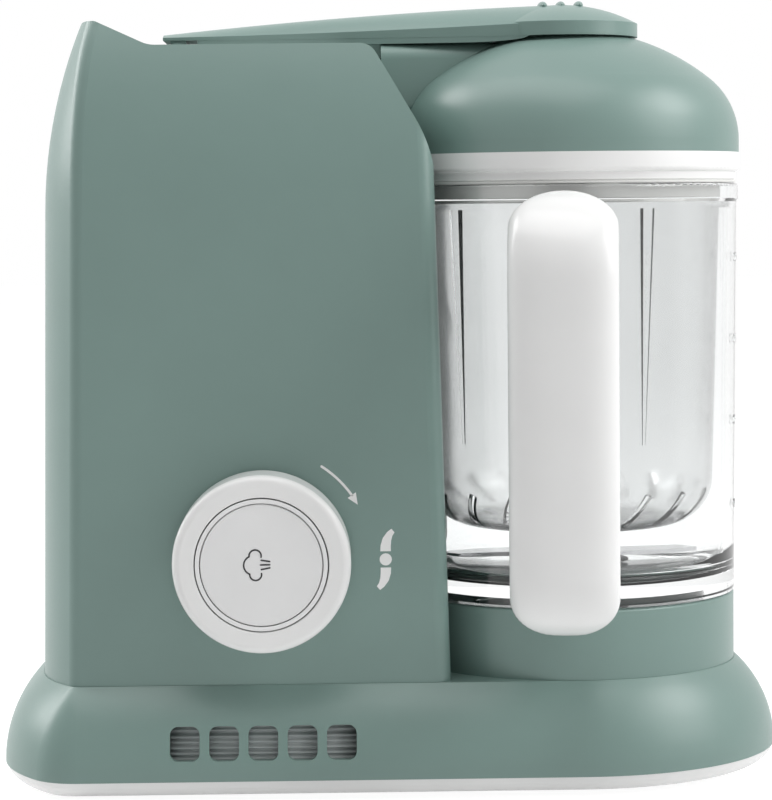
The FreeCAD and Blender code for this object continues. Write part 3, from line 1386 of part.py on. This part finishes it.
def lid_arm(dome):
    bar = new_body("ArmBar")
    middle = "(arm_paddle - arm_front)"
    waist_side = "(arm_back_side*0.6 + arm_front_side*0.4)"
    stations = [("arm_back", "arm_back_half", "arm_back_side", "arm_back_ridge"),
                ("arm_waist", "arm_waist_half", waist_side, "arm_waist_ridge"),
                (middle, "(arm_paddle*0.93)", "arm_front_side", "arm_front_ridge")]
    sections = []
    for x, half, side, ridge in stations:
        sketch = sketch_on(bar, "YZ_Plane", neg(x))
        rise = f"({ridge} - {side})"
        crown = f"({half}^2 + {rise}^2)/(2*{rise})"
        draw(sketch, [(neg(half), "arm_z"), (half, "arm_z"), (half, f"arm_z + {side}", crown, 1),
                      (neg(half), f"arm_z + {side}")])
        sections.append(sketch)
    loft(bar, sections)
    rise = "(arm_front_ridge - arm_front_side)"
    paddle = turned("ArmPaddle", [
        ("0", "arm_z"), ("arm_paddle", "arm_z"),
        ("arm_paddle", "arm_z + arm_front_side", f"(arm_paddle^2 + {rise}^2)/(2*{rise})", 1),
        ("0", "arm_z + arm_front_ridge"),
    ])
    place(paddle, neg(middle), "0", "0")
    ridges = []
    ridge_z = "arm_z + arm_front_ridge - grip_ridge/4"
    for step in (-1, 0, 1):
        ridge = DOC.addObject("Part::Ellipsoid", "GripRidge")
        bind(ridge, "Radius1", "grip_ridge")
        bind(ridge, "Radius2", "grip_ridge")
        bind(ridge, "Radius3", "grip_ridge_half")
        ridges.append(place(ridge, f"{step}*grip_ridge_pitch - {middle}", "0", ridge_z))
    knuckle = rod("Knuckle", neg("hinge_x"), neg("knuckle_half"), "hinge_z", "knuckle_radius",
                  "2*knuckle_half", "Y")
    web = block("KnuckleWeb", neg("hinge_x + knuckle_radius*0.8"), neg("knuckle_half"), "hinge_z",
                "1.6*knuckle_radius", "2*knuckle_half", "arm_z - hinge_z + arm_back_side/2")
    bore = rod("KnuckleBore", neg("hinge_x"), neg("body_half_depth"), "hinge_z", "hinge_pin + run_fit",
               "2*body_half_depth", "Y")
    whole = fuse("ArmBody", bar, paddle, knuckle, web, *ridges)
    node("lid_arm", cut("LidArm", whole, dome, bore))


def tank_plug():
    seat = "(top_deck_z + boiler_wall + slip)"
    top = f"({seat} + seal_thick/2)"
    stem = "(arm_back_half*0.9)"
    node("tank_plug", turned_at_boiler("TankPlug", [
        ("0", f"{seat} - plug_spigot_drop"), ("plug_spigot", f"{seat} - plug_spigot_drop"),
        ("plug_spigot", top), ("plug_radius", top), ("plug_radius", f"{top} + boiler_wall"),
        (stem, f"{top} + 2*boiler_wall"),
        (stem, "arm_z"), ("0", "arm_z"),
    ]))
    node("tank_seal", turned_at_boiler("TankSeal", [
        ("plug_spigot", seat), ("plug_radius", seat), ("plug_radius", top), ("plug_spigot", top),
    ]))


def export():
    DOC.recompute()
    broken = [item.Name for item in DOC.Objects if {"Invalid", "Error"} & set(item.State)]
    if broken:
        raise RuntimeError("not rebuilt: " + ", ".join(broken))
    for name, item in NODES.items():
        if item.Shape.isNull() or not item.Shape.isValid():
            raise RuntimeError("no valid shape: " + name)
    os.makedirs("parts", exist_ok=True)
    for name, item in NODES.items():
        item.Shape.exportStep(f"parts/{name}.step")


fill_sheet()
base_cover()
base_tray()
rubber_feet()
tray_screws()
vent_louvre()
tower_covers()
grip_insert()
cord_gland()
top_deck()
hinge_pin()
boiler()
knob_parts()
motor_mount()
motor()
belt_drive()
jar_seat()
drive_spindle()
jar()
jar_handle()
steam_basket()
blade_parts()
dome_solid = lid_dome()
lid_rim()
steam_bridge(dome_solid)
lid_arm(dome_solid)
tank_plug()
export()
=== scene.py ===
import bmesh
import bpy
import json
import math
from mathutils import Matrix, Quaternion, Vector


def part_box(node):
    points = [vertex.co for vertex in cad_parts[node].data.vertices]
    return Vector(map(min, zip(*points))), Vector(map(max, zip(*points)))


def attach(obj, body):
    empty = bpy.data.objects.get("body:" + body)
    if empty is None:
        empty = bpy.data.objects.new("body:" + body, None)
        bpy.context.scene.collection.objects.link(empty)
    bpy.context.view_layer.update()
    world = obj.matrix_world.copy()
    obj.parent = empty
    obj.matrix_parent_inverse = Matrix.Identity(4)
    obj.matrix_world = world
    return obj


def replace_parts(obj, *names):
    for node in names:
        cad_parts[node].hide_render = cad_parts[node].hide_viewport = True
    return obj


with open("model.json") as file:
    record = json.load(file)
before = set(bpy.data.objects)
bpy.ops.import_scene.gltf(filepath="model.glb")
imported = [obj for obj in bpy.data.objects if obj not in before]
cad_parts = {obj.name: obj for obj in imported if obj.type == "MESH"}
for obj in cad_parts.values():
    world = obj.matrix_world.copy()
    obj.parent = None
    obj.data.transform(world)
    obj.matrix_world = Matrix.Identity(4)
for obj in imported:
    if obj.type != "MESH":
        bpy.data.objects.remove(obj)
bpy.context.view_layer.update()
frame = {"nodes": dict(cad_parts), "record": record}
nodes = frame["nodes"]
scene = bpy.context.scene
scene.view_settings.view_transform = "Standard"

MM = 0.001

# Places read from the frame
rim_low, rim_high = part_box("lid_rim")
jar_axis = (rim_low + rim_high) / 2
front_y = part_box("tower_front_cover")[0].y
button_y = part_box("steam_button")[0].y
knob_low, knob_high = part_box("knob_ring")
knob_spot = (knob_low + knob_high) / 2

# Materials
PLASTIC_IOR = 1.5
GLOSS_SPREAD = 0.15
BUMP_HEIGHT = 0.2 * MM


def noise(tree, mapping, scale, detail):
    """A noise texture in the object's own coordinates."""
    node = tree.nodes.new("ShaderNodeTexNoise")
    node.inputs["Scale"].default_value = scale
    node.inputs["Detail"].default_value = detail
    tree.links.new(mapping.outputs["Vector"], node.inputs["Vector"])
    return node


def finish(name, colour, roughness, mottle=0.05, cloud=35.0, grain=1400.0, bump=0.03, stretch=(1, 1, 1)):
    """A material with a faint mottle in its colour, uneven gloss and a fine bump."""
    material = bpy.data.materials.new(name)
    material.use_nodes = True
    tree = material.node_tree
    shader = tree.nodes["Principled BSDF"]
    place = tree.nodes.new("ShaderNodeTexCoord")
    mapping = tree.nodes.new("ShaderNodeMapping")
    mapping.inputs["Scale"].default_value = stretch
    tree.links.new(place.outputs["Object"], mapping.inputs["Vector"])
    patches = noise(tree, mapping, scale=cloud, detail=4.0)
    grains = noise(tree, mapping, scale=grain, detail=2.0)

    ramp = tree.nodes.new("ShaderNodeValToRGB")
    shades = ((0.3, 1 - mottle), (0.7, 1 + mottle))
    for stop, (position, level) in zip(ramp.color_ramp.elements, shades):
        stop.position = position
        stop.color = [min(part * level, 1) for part in colour] + [1]
    tree.links.new(patches.outputs["Fac"], ramp.inputs["Fac"])
    tree.links.new(ramp.outputs["Color"], shader.inputs["Base Color"])

    gloss = tree.nodes.new("ShaderNodeMapRange")
    gloss.inputs["To Min"].default_value = roughness * (1 - GLOSS_SPREAD)
    gloss.inputs["To Max"].default_value = min(roughness * (1 + GLOSS_SPREAD), 1)
    tree.links.new(grains.outputs["Fac"], gloss.inputs["Value"])
    tree.links.new(gloss.outputs["Result"], shader.inputs["Roughness"])

    relief = tree.nodes.new("ShaderNodeBump")
    relief.inputs["Strength"].default_value = bump
    relief.inputs["Distance"].default_value = BUMP_HEIGHT
    tree.links.new(grains.outputs["Fac"], relief.inputs["Height"])
    tree.links.new(relief.outputs["Normal"], shader.inputs["Normal"])
    return material, shader


def plastic(name, colour, roughness, **detail):
    """A plastic or rubber that light doesn't pass."""
    material, shader = finish(name, colour, roughness, **detail)
    shader.inputs["IOR"].default_value = PLASTIC_IOR
    return material


def metal(name, colour, roughness, **detail):
    """A bare metal; stretch draws its grain out in one direction."""
    material, shader = finish(name, colour, roughness, **detail)
    shader.inputs["Metallic"].default_value = 1.0
    return material


def clear(name, colour, roughness, **detail):
    """A plastic to see through."""
    material, shader = finish(name, colour, roughness, mottle=0.01, **detail)
    shader.inputs["Transmission Weight"].default_value = 1.0
    shader.inputs["IOR"].default_value = PLASTIC_IOR
    return material


LOOKS = {
    "sage_plastic": plastic("sage_plastic", (0.192, 0.288, 0.262), 0.36, mottle=0.02, bump=0.05),
    "white_plastic": plastic("white_plastic", (0.89, 0.89, 0.885), 0.24, mottle=0.015, bump=0.01),
    "button_plastic": plastic("button_plastic", (0.86, 0.86, 0.86), 0.45, mottle=0.02, bump=0.04),
    "clear_plastic": clear("clear_plastic", (0.975, 0.985, 0.985), 0.02, bump=0.004, grain=60.0),
    "milky_plastic": clear("milky_plastic", (0.90, 0.905, 0.905), 0.12, bump=0.002, grain=300.0),
    "lens": plastic("lens", (0.90, 0.90, 0.90), 0.2, mottle=0.02),
    "grey_plastic": plastic("grey_plastic", (0.40, 0.43, 0.43), 0.5),
    "dark_plastic": plastic("dark_plastic", (0.02, 0.02, 0.022), 0.38, mottle=0.15),
    "white_silicone": plastic("white_silicone", (0.80, 0.80, 0.78), 0.6, mottle=0.02),
    "black_rubber": plastic("black_rubber", (0.018, 0.018, 0.018), 0.75, mottle=0.2, bump=0.12),
    "steel": metal("steel", (0.60, 0.60, 0.60), 0.28, stretch=(1, 1, 14)),
    "blade_steel": metal("blade_steel", (0.55, 0.55, 0.56), 0.18, stretch=(1, 8, 1)),
    "zinc_steel": metal("zinc_steel", (0.50, 0.50, 0.47), 0.4, mottle=0.1),
    "laminations": metal("laminations", (0.22, 0.22, 0.23), 0.5, mottle=0.12, stretch=(0.2, 0.2, 3)),
    "copper": metal("copper", (0.62, 0.27, 0.13), 0.35, stretch=(1, 1, 6)),
    "bronze": metal("bronze", (0.45, 0.31, 0.14), 0.42, mottle=0.1),
    "aluminium": metal("aluminium", (0.60, 0.60, 0.61), 0.4),
    "circuit_board": plastic("circuit_board", (0.02, 0.14, 0.06), 0.35, mottle=0.2, cloud=120.0),
    "carbon": plastic("carbon", (0.025, 0.025, 0.026), 0.6, mottle=0.2),
}
for part in frame["record"]["subparts"]:
    mesh = nodes[part["node"]].data
    mesh.materials.clear()
    mesh.materials.append(LOOKS[part["material_slot"]])


# Pieces and their meshes
def piece(name, made, look, body):
    """A named piece from a finished mesh, in the look of a record slot, that moves with a body."""
    mesh = bpy.data.meshes.new(name)
    made.to_mesh(mesh)
    made.free()
    mesh.materials.append(LOOKS[look])
    item = bpy.data.objects.new(name, mesh)
    scene.collection.objects.link(item)
    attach(item, body)
    return item


def join(made, first, second):
    """Faces between two rings of corners, in the order of the corners."""
    faces = []
    for number in range(len(first)):
        after = (number + 1) % len(first)
        faces.append(made.faces.new((first[number], first[after], second[after], second[number])))
    return faces


def settle(made):
    """Turns the faces of a closed mesh outwards and splits those with many corners."""
    bmesh.ops.recalc_face_normals(made, faces=made.faces[:])
    bmesh.ops.triangulate(made, faces=[face for face in made.faces if len(face.verts) > 4])


def arc(x, y, radius, start, end, steps=24):
    """Points on an arc about (x, y), with angles in degrees."""
    turns = [math.radians(start + (end - start) * step / steps) for step in range(steps + 1)]
    return [(x + radius * math.cos(turn), y + radius * math.sin(turn)) for turn in turns]


def stroke(line, width):
    """The outline of a round-ended line of an even width."""
    half = width / 2
    sides = {1: [], -1: []}
    for number, (x, y) in enumerate(line):
        before, after = line[max(number - 1, 0)], line[min(number + 1, len(line) - 1)]
        turn = math.atan2(after[1] - before[1], after[0] - before[0]) + math.pi / 2
        for side in sides:
            sides[side].append((x + side * half * math.cos(turn), y + side * half * math.sin(turn)))
    (x0, y0), (x1, y1) = line[0], line[-1]
    first = math.degrees(math.atan2(line[1][1] - y0, line[1][0] - x0))
    last = math.degrees(math.atan2(y1 - line[-2][1], x1 - line[-2][0]))
    last_cap = arc(x1, y1, half, last - 90, last + 90, steps=10)[1:-1]
    first_cap = arc(x0, y0, half, first + 90, first + 270, steps=10)[1:-1]
    return sides[-1] + last_cap + sides[1][::-1] + first_cap


def plates(outlines, height):
    """A mesh of flat shapes from outlines in millimetres, with a thickness."""
    made = bmesh.new()
    for outline in outlines:
        face = made.faces.new([made.verts.new((x, y, 0)) for x, y in outline])
        moved = bmesh.ops.extrude_face_region(made, geom=[face])["geom"]
        for item in moved:
            if isinstance(item, bmesh.types.BMVert):
                item.co.z = height
    settle(made)
    return made


def figures(made, number, size, height):
    """Adds a plain number, left of the origin, to a mesh of flat shapes."""
    curve = bpy.data.curves.new("figures", "FONT")
    curve.body = str(number)
    curve.size = size
    curve.align_x = "RIGHT"
    curve.align_y = "CENTER"
    curve.extrude = height / 2
    writing = bpy.data.objects.new("figures", curve)
    mesh = bpy.data.meshes.new_from_object(writing)
    for spot in mesh.vertices:
        spot.co.z += height / 2
    made.from_mesh(mesh)
    bmesh.ops.remove_doubles(made, verts=made.verts[:], dist=0.001)
    bpy.data.objects.remove(writing)
    bpy.data.meshes.remove(mesh)
    bpy.data.curves.remove(curve)


def raised(name, made, look, body, bend):
    """A piece from a mesh of flat shapes; bend puts (x, y, height) of each point in the frame."""
    for spot in made.verts:
        spot.co = bend(*spot.co)
    piece(name, made, look, body)


# Printed signs, in millimetres
PRINT = 0.08


def facing_user(spot):
    """Puts flat points on a surface that faces the user, about a place in the frame."""
    def bend(x, y, height):
        return spot + Vector((x, -height, y)) * MM
    return bend


def turn_arrow():
    """A short curved arrow about the knob's axis, for the turn that starts the blade."""
    radius, start, end, head_turn = 34.5, 56.7, 34.6, 6.0
    width, head_half = 0.8, 1.6
    line = arc(0, 0, radius, start, end)
    tip = arc(0, 0, radius, end, end - head_turn)[-1]
    inner, outer = (arc(0, 0, radius + side * head_half, end, end)[0] for side in (-1, 1))
    spot = Vector((knob_spot.x, front_y, knob_spot.z))
    made = plates([stroke(line, width), [inner, tip, outer]], PRINT)
    raised("arrow_print", made, "white_plastic", "housing", facing_user(spot))


def blade_sign():
    """Two swept blades about a hub."""
    right, down, hub_radius = 39.0 * MM, 1.1 * MM, 1.95
    blade = [(-1.7, 2.6), (-1.6, 4.5), (-0.9, 6.8), (0.5, 8.7), (1.9, 9.8),
             (2.9, 8.6), (2.2, 7.5), (1.8, 6.0), (1.65, 4.2), (1.65, 2.6)]
    other = [(-x, -y) for x, y in blade]
    hub = arc(0, 0, hub_radius, 0, 360)[:-1]
    spot = Vector((knob_spot.x + right, front_y, knob_spot.z - down))
    made = plates([blade, other, hub], PRINT)
    raised("blade_print", made, "white_plastic", "housing", facing_user(spot))


def steam_sign():
    """A puff of three lobes with three streaks."""
    left, width = 1.0 * MM, 0.5
    lobes = [arc(-0.9, 2.9, 1.9, -12, 186), arc(-1.5, 0, 3.0, 115.5, 247.5),
             arc(-0.8, -2.9, 1.85, 176, 370)]
    streaks = [[(1.0, 1.55), (3.6, 1.15)], [(0.75, 0.1), (3.6, 0.15)], [(1.0, -1.35), (3.6, -0.85)]]
    spot = Vector((knob_spot.x - left, button_y, knob_spot.z))
    made = plates([stroke(line, width) for line in lobes + streaks], PRINT)
    raised("steam_print", made, "dark_plastic", "button", facing_user(spot))


# Moulded marks on the jar, by number and height in millimetres
JAR_MARKS = {4: 87.3, 12: 115.5, 20: 142.5, 28: 169.5}


def jar_radius(height, turn):
    """How far the jar's outer wall stands from its axis, at a height and a direction."""
    jar = nodes["jar"]
    away = Vector((math.cos(turn), math.sin(turn), 0))
    axis = Vector((jar_axis.x, jar_axis.y, height))
    to_jar = jar.matrix_world.inverted()
    start = to_jar @ (axis + away)
    hit = jar.ray_cast(start, to_jar @ axis - start)[1]
    return ((jar.matrix_world @ hit) - axis).length


def around_jar(height, turn):
    """Puts flat points on the jar's wall, about a height and a direction."""
    reach, sunk = 2.0, 0.05
    low = jar_radius((height - reach) * MM, turn)
    high = jar_radius((height + reach) * MM, turn)

    def bend(x, y, rise):
        out = low + (high - low) * (y + reach) / (2 * reach) + (rise - sunk) * MM
        way = turn + x * MM / out
        spot = jar_axis + Vector((math.cos(way), math.sin(way), 0)) * out
        return Vector((spot.x, spot.y, (height + y) * MM))
    return bend


def jar_marks():
    """Lines with numbers for the filling heights, on the jar's side."""
    turn = math.radians(-12.7)
    line, width = [(0.8, 0), (6.0, 0)], 0.9
    size, thick = 4.2, 0.35
    bpy.context.view_layer.update()
    for number, height in JAR_MARKS.items():
        made = plates([stroke(line, width)], thick)
        figures(made, number, size, thick)
        raised(f"jar_mark_{number}", made, "clear_plastic", "jar", around_jar(height, turn))


# Soft grip of the jar, in millimetres and degrees
GRIP = {
    "turn": 5.4, "top": 191.8, "low": 53.6, "reach": 97.5, "half_width": 17.0, "half_thick": 7.8,
    "bend": 19.0, "foot_bend": 13.0, "top_rise": 11.5, "foot_rise": 13.5, "fullness": 2.7,
    "wall_low": 55.9, "wall_high": 56.9, "root_depth": 2.7, "near_step": 1.0, "far_step": 7.0,
}


def grip_line():
    """The grip's middle line from the jar's rim out, down and back, as (out, height)."""
    steps = 20
    mid = GRIP["reach"] - GRIP["half_thick"]
    high = GRIP["top"] - GRIP["half_thick"]
    low = GRIP["low"] + GRIP["half_thick"]
    bend, foot = GRIP["bend"], GRIP["foot_bend"]
    climb = high - bend - low - foot
    straight = [GRIP["wall_low"] - GRIP["root_depth"], GRIP["wall_high"] + GRIP["near_step"],
                GRIP["wall_high"] + GRIP["far_step"]]
    line = [(out, high) for out in straight]
    line += arc(mid - bend, high - bend, bend, 90, 0)
    line += [(mid, high - bend - climb * step / steps) for step in range(1, steps)]
    line += arc(mid - foot, low + foot, foot, 0, -90)
    return line + [(out, low) for out in reversed(straight)]


def grip_half_width(height):
    """Half of the grip's width in the front view, which closes in an arch at both ends."""
    least = 0.02
    end = min((GRIP["top"] - height) / GRIP["top_rise"], (height - GRIP["low"]) / GRIP["foot_rise"], 1)
    return GRIP["half_width"] * math.sqrt(max(1 - (1 - end) ** 2, least ** 2))


def grip_ring(before, spot, after, count=48):
    """Points of the grip's soft section at a place on its middle line, as (out, side, height)."""
    run = Vector((after[0] - before[0], after[1] - before[1])).normalized()
    power = 2 / GRIP["fullness"]
    ring = []
    for number in range(count):
        turn = 2 * math.pi * number / count
        wide, thick = math.cos(turn), math.sin(turn)
        rise = GRIP["half_thick"] * math.copysign(abs(thick) ** power, thick)
        out, height = spot[0] - run.y * rise, spot[1] + run.x * rise
        side = GRIP["half_width"] * math.copysign(abs(wide) ** power, wide)
        side = math.copysign(min(abs(side), grip_half_width(height)), side)
        share = (height - GRIP["low"]) / (GRIP["top"] - GRIP["low"])
        wall = GRIP["wall_low"] + (GRIP["wall_high"] - GRIP["wall_low"]) * share
        ring.append((max(out, math.sqrt(wall ** 2 - side ** 2)), side, height))
    return ring


def jar_grip():
    """The jar's handle as one soft bar, on the path of its solid."""
    turn = math.radians(GRIP["turn"])
    outward = Vector((-math.sin(turn), -math.cos(turn), 0))
    sideways = Vector((math.cos(turn), -math.sin(turn), 0))
    upward = Vector((0, 0, 1))
    foot = Vector((jar_axis.x, jar_axis.y, 0))
    line = grip_line()
    made = bmesh.new()
    rings = []
    for number, spot in enumerate(line):
        ring = grip_ring(line[max(number - 1, 0)], spot, line[min(number + 1, len(line) - 1)])
        places = [outward * out + sideways * side + upward * height for out, side, height in ring]
        rings.append([made.verts.new(foot + place * MM) for place in places])
    for first, second in zip(rings, rings[1:]):
        for face in join(made, first, second):
            face.smooth = True
    for ring in (rings[0], rings[-1]):
        for edge in made.faces.new(ring).edges:
            edge.smooth = False
    settle(made)
    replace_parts(piece("grip", made, "white_plastic", "jar"), "jar_handle")


# Fine ribs behind the base's windows
def slat_fronts(back):
    """Heights and front edges of the slats, from the bottom up, as (height, y)."""
    same_level, shallow = 0.01 * MM, 2 * MM
    slats = nodes["vent_louvre"]
    spots = [slats.matrix_world @ corner.co for corner in slats.data.vertices]
    fronts = []
    for level in sorted({round(spot.z, 5) for spot in spots}):
        front = min(spot.y for spot in spots if abs(spot.z - level) < same_level)
        if front < back - shallow:
            fronts.append((level, front))
    return fronts


def front_at(fronts, height):
    """The slats' front at any height, on straight lines from edge to edge."""
    if height <= fronts[0][0]:
        return fronts[0][1]
    for (low, first), (high, second) in zip(fronts, fronts[1:]):
        if height <= high:
            return first + (second - first) * (height - low) / (high - low)
    return fronts[-1][1]


def vent_ribs():
    """A sheet with fine level ribs in the slats' room."""
    pitch, depth, sunk, steps = 1.75 * MM, 1.1 * MM, 0.275 * MM, 8
    low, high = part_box("vent_louvre")
    back = high.y
    fronts = slat_fronts(back)
    count = int((high.z - low.z) / pitch) * steps
    outline = [(back, low.z)]
    for step in range(count + 1):
        height = low.z + (high.z - low.z) * step / count
        groove = depth * (1 + math.cos(2 * math.pi * step / steps)) / 2
        outline.append((min(front_at(fronts, height) + sunk + groove, back - depth), height))
    outline.append((back, high.z))
    made = bmesh.new()
    ends = [[made.verts.new((x, y, z)) for y, z in outline] for x in (low.x, high.x)]
    for number, face in enumerate(join(made, *ends)):
        face.smooth = 0 < number < len(outline) - 2
    for end in ends:
        made.faces.new(end)
    settle(made)
    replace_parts(piece("vent_ribs", made, "grey_plastic", "housing"), "vent_louvre")


# Small forms under the lid's arm
def arm_lips():
    """A lip under each side of the lid's arm, from beside the hinge to the dome."""
    start, fade, end, count = -62.0 * MM, 26.0 * MM, 47.0 * MM, 60
    depth, thick, sunk, inset = 1.9 * MM, 1.4 * MM, 0.1 * MM, 0.1 * MM
    arm = nodes["lid_arm"]
    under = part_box("tank_plug")[1].z
    to_arm = arm.matrix_world.inverted()
    backward = to_arm.to_3x3() @ Vector((0, 1, 0))
    made = bmesh.new()
    rows = {1: [], -1: []}
    for step in range(count + 1):
        x = start + (end - start) * step / count
        before = to_arm @ Vector((x, jar_axis.y - 1, under + sunk))
        edge = arm.matrix_world @ arm.ray_cast(before, backward)[1]
        half = jar_axis.y - edge.y - inset
        drop = depth * math.sqrt(1 - max((x - fade) / (end - fade), 0) ** 2)
        corners = ((half, sunk), (half, -drop), (half - thick, -drop), (half - thick, sunk))
        for side, row in rows.items():
            row.append([made.verts.new((x, jar_axis.y + side * wide, under + rise))
                        for wide, rise in corners])
    for row in rows.values():
        for first, second in zip(row, row[1:]):
            join(made, first, second)
        made.faces.new(row[0])
        made.faces.new(row[-1])
    settle(made)
    piece("arm_lips", made, "sage_plastic", "lid")


def bridge_cheek():
    """The bridge's end towards the tower, a clearance above the shoulder's rounded edge."""
    shoulder = [(-8.5, 239.5), (-7.0, 239.2), (-6.0, 238.8), (-5.0, 238.1), (-4.0, 237.0), (-3.0, 235.4)]
    clearance, inset, overlap = 0.9, 3.6, 0.2
    low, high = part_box("steam_bridge")
    end, top = low.x / MM + overlap, high.z / MM
    outline = [(x, z + clearance) for x, z in shoulder]
    outline += [(end, outline[-1][1]), (end, top), (shoulder[0][0], top)]
    wide = (high.y - low.y) / MM - 2 * inset

    def bend(x, z, depth):
        return Vector((x * MM, low.y + (inset + depth) * MM, z * MM))

    raised("bridge_cheek", plates([outline], wide), "sage_plastic", "lid", bend)


turn_arrow()
blade_sign()
steam_sign()
jar_marks()
jar_grip()
vent_ribs()
arm_lips()
bridge_cheek()

# Camera at the photo's place
camera_spot = Vector((-13.99, -926.46, 187.82)) * MM
camera_target = Vector((-0.85, 14.77, 122.33)) * MM
camera_roll = math.radians(-0.6)
camera_data = bpy.data.cameras.new("camera")
camera_data.lens = 126.0
camera_data.sensor_width = 36.0
camera_data.clip_end = 20.0
camera = bpy.data.objects.new("camera", camera_data)
scene.collection.objects.link(camera)
camera.location = camera_spot
camera.rotation_mode = "QUATERNION"
aim = (camera_target - camera_spot).to_track_quat("-Z", "Y")
camera.rotation_quaternion = aim @ Quaternion((0, 0, 1), camera_roll)
scene.camera = camera

# Floor, backdrop and light, in metres and watts
LIT_SPOT = Vector((0, 0, 0.13))
LAMPS = {
    "left_box": {"spot": (-0.95, 0.4, 0.75), "width": 0.5, "height": 1.0, "power": 9.2},
    "key_box": {"spot": (1.0, -0.4, 0.65), "width": 0.7, "height": 0.9, "power": 5.6},
    "right_box": {"spot": (1.0, -0.1, 0.95), "width": 0.6, "height": 0.6, "power": 5.4},
    "top_box": {"spot": (-0.15, -0.2, 1.15), "width": 1.2, "height": 0.7, "power": 6.0},
}


def seen_ray(tree):
    """1 for rays from the camera, in a mirror or through glass, else 0."""
    path = tree.nodes.new("ShaderNodeLightPath")
    total = path.outputs["Is Camera Ray"]
    for ray in ("Is Glossy Ray", "Is Transmission Ray"):
        either = tree.nodes.new("ShaderNodeMath")
        either.operation = "MAXIMUM"
        tree.links.new(total, either.inputs[0])
        tree.links.new(path.outputs[ray], either.inputs[1])
        total = either.outputs["Value"]
    return total


def floor_look():
    """A pale matt floor that shows mostly white, with the object's shadow in it."""
    shade, roughness, white_level, white_share = 0.88, 0.7, 1.25, 0.75
    material = bpy.data.materials.new("floor")
    material.use_nodes = True
    tree = material.node_tree
    shader = tree.nodes["Principled BSDF"]
    shader.inputs["Base Color"].default_value = (shade, shade, shade, 1)
    shader.inputs["Roughness"].default_value = roughness
    white = tree.nodes.new("ShaderNodeEmission")
    white.inputs["Strength"].default_value = white_level
    part = tree.nodes.new("ShaderNodeMath")
    part.operation = "MULTIPLY"
    part.inputs[1].default_value = white_share
    mix = tree.nodes.new("ShaderNodeMixShader")
    tree.links.new(seen_ray(tree), part.inputs[0])
    tree.links.new(part.outputs["Value"], mix.inputs["Fac"])
    tree.links.new(shader.outputs["BSDF"], mix.inputs[1])
    tree.links.new(white.outputs["Emission"], mix.inputs[2])
    tree.links.new(mix.outputs["Shader"], tree.nodes["Material Output"].inputs["Surface"])
    return material


def studio_floor():
    """A wide level floor just under the feet."""
    half_size, drop = 6.0, 0.1 * MM
    made = bmesh.new()
    bmesh.ops.create_grid(made, x_segments=1, y_segments=1, size=half_size)
    mesh = bpy.data.meshes.new("floor")
    made.to_mesh(mesh)
    made.free()
    mesh.materials.append(floor_look())
    floor = bpy.data.objects.new("floor", mesh)
    floor.location.z = -drop
    scene.collection.objects.link(floor)


def studio_world():
    """A dim even light all round, which shows as white."""
    light_level, seen_level = 0.18, 1.0
    world = bpy.data.worlds.new("studio")
    scene.world = world
    world.use_nodes = True
    tree = world.node_tree
    ambient = tree.nodes["Background"]
    ambient.inputs["Color"].default_value = (1, 1, 1, 1)
    ambient.inputs["Strength"].default_value = light_level
    white = tree.nodes.new("ShaderNodeBackground")
    white.inputs["Color"].default_value = (1, 1, 1, 1)
    white.inputs["Strength"].default_value = seen_level
    mix = tree.nodes.new("ShaderNodeMixShader")
    tree.links.new(seen_ray(tree), mix.inputs["Fac"])
    tree.links.new(ambient.outputs["Background"], mix.inputs[1])
    tree.links.new(white.outputs["Background"], mix.inputs[2])
    tree.links.new(mix.outputs["Shader"], tree.nodes["World Output"].inputs["Surface"])


def softbox(name, spot, width, height, power):
    """A flat lamp that points at the object's middle."""
    data = bpy.data.lights.new(name, "AREA")
    data.shape = "RECTANGLE"
    data.size = width
    data.size_y = height
    data.energy = power
    light = bpy.data.objects.new(name, data)
    light.location = spot
    light.rotation_mode = "QUATERNION"
    light.rotation_quaternion = (LIT_SPOT - Vector(spot)).to_track_quat("-Z", "Y")
    scene.collection.objects.link(light)


studio_floor()
studio_world()
for lamp, setting in LAMPS.items():
    softbox(lamp, **setting)
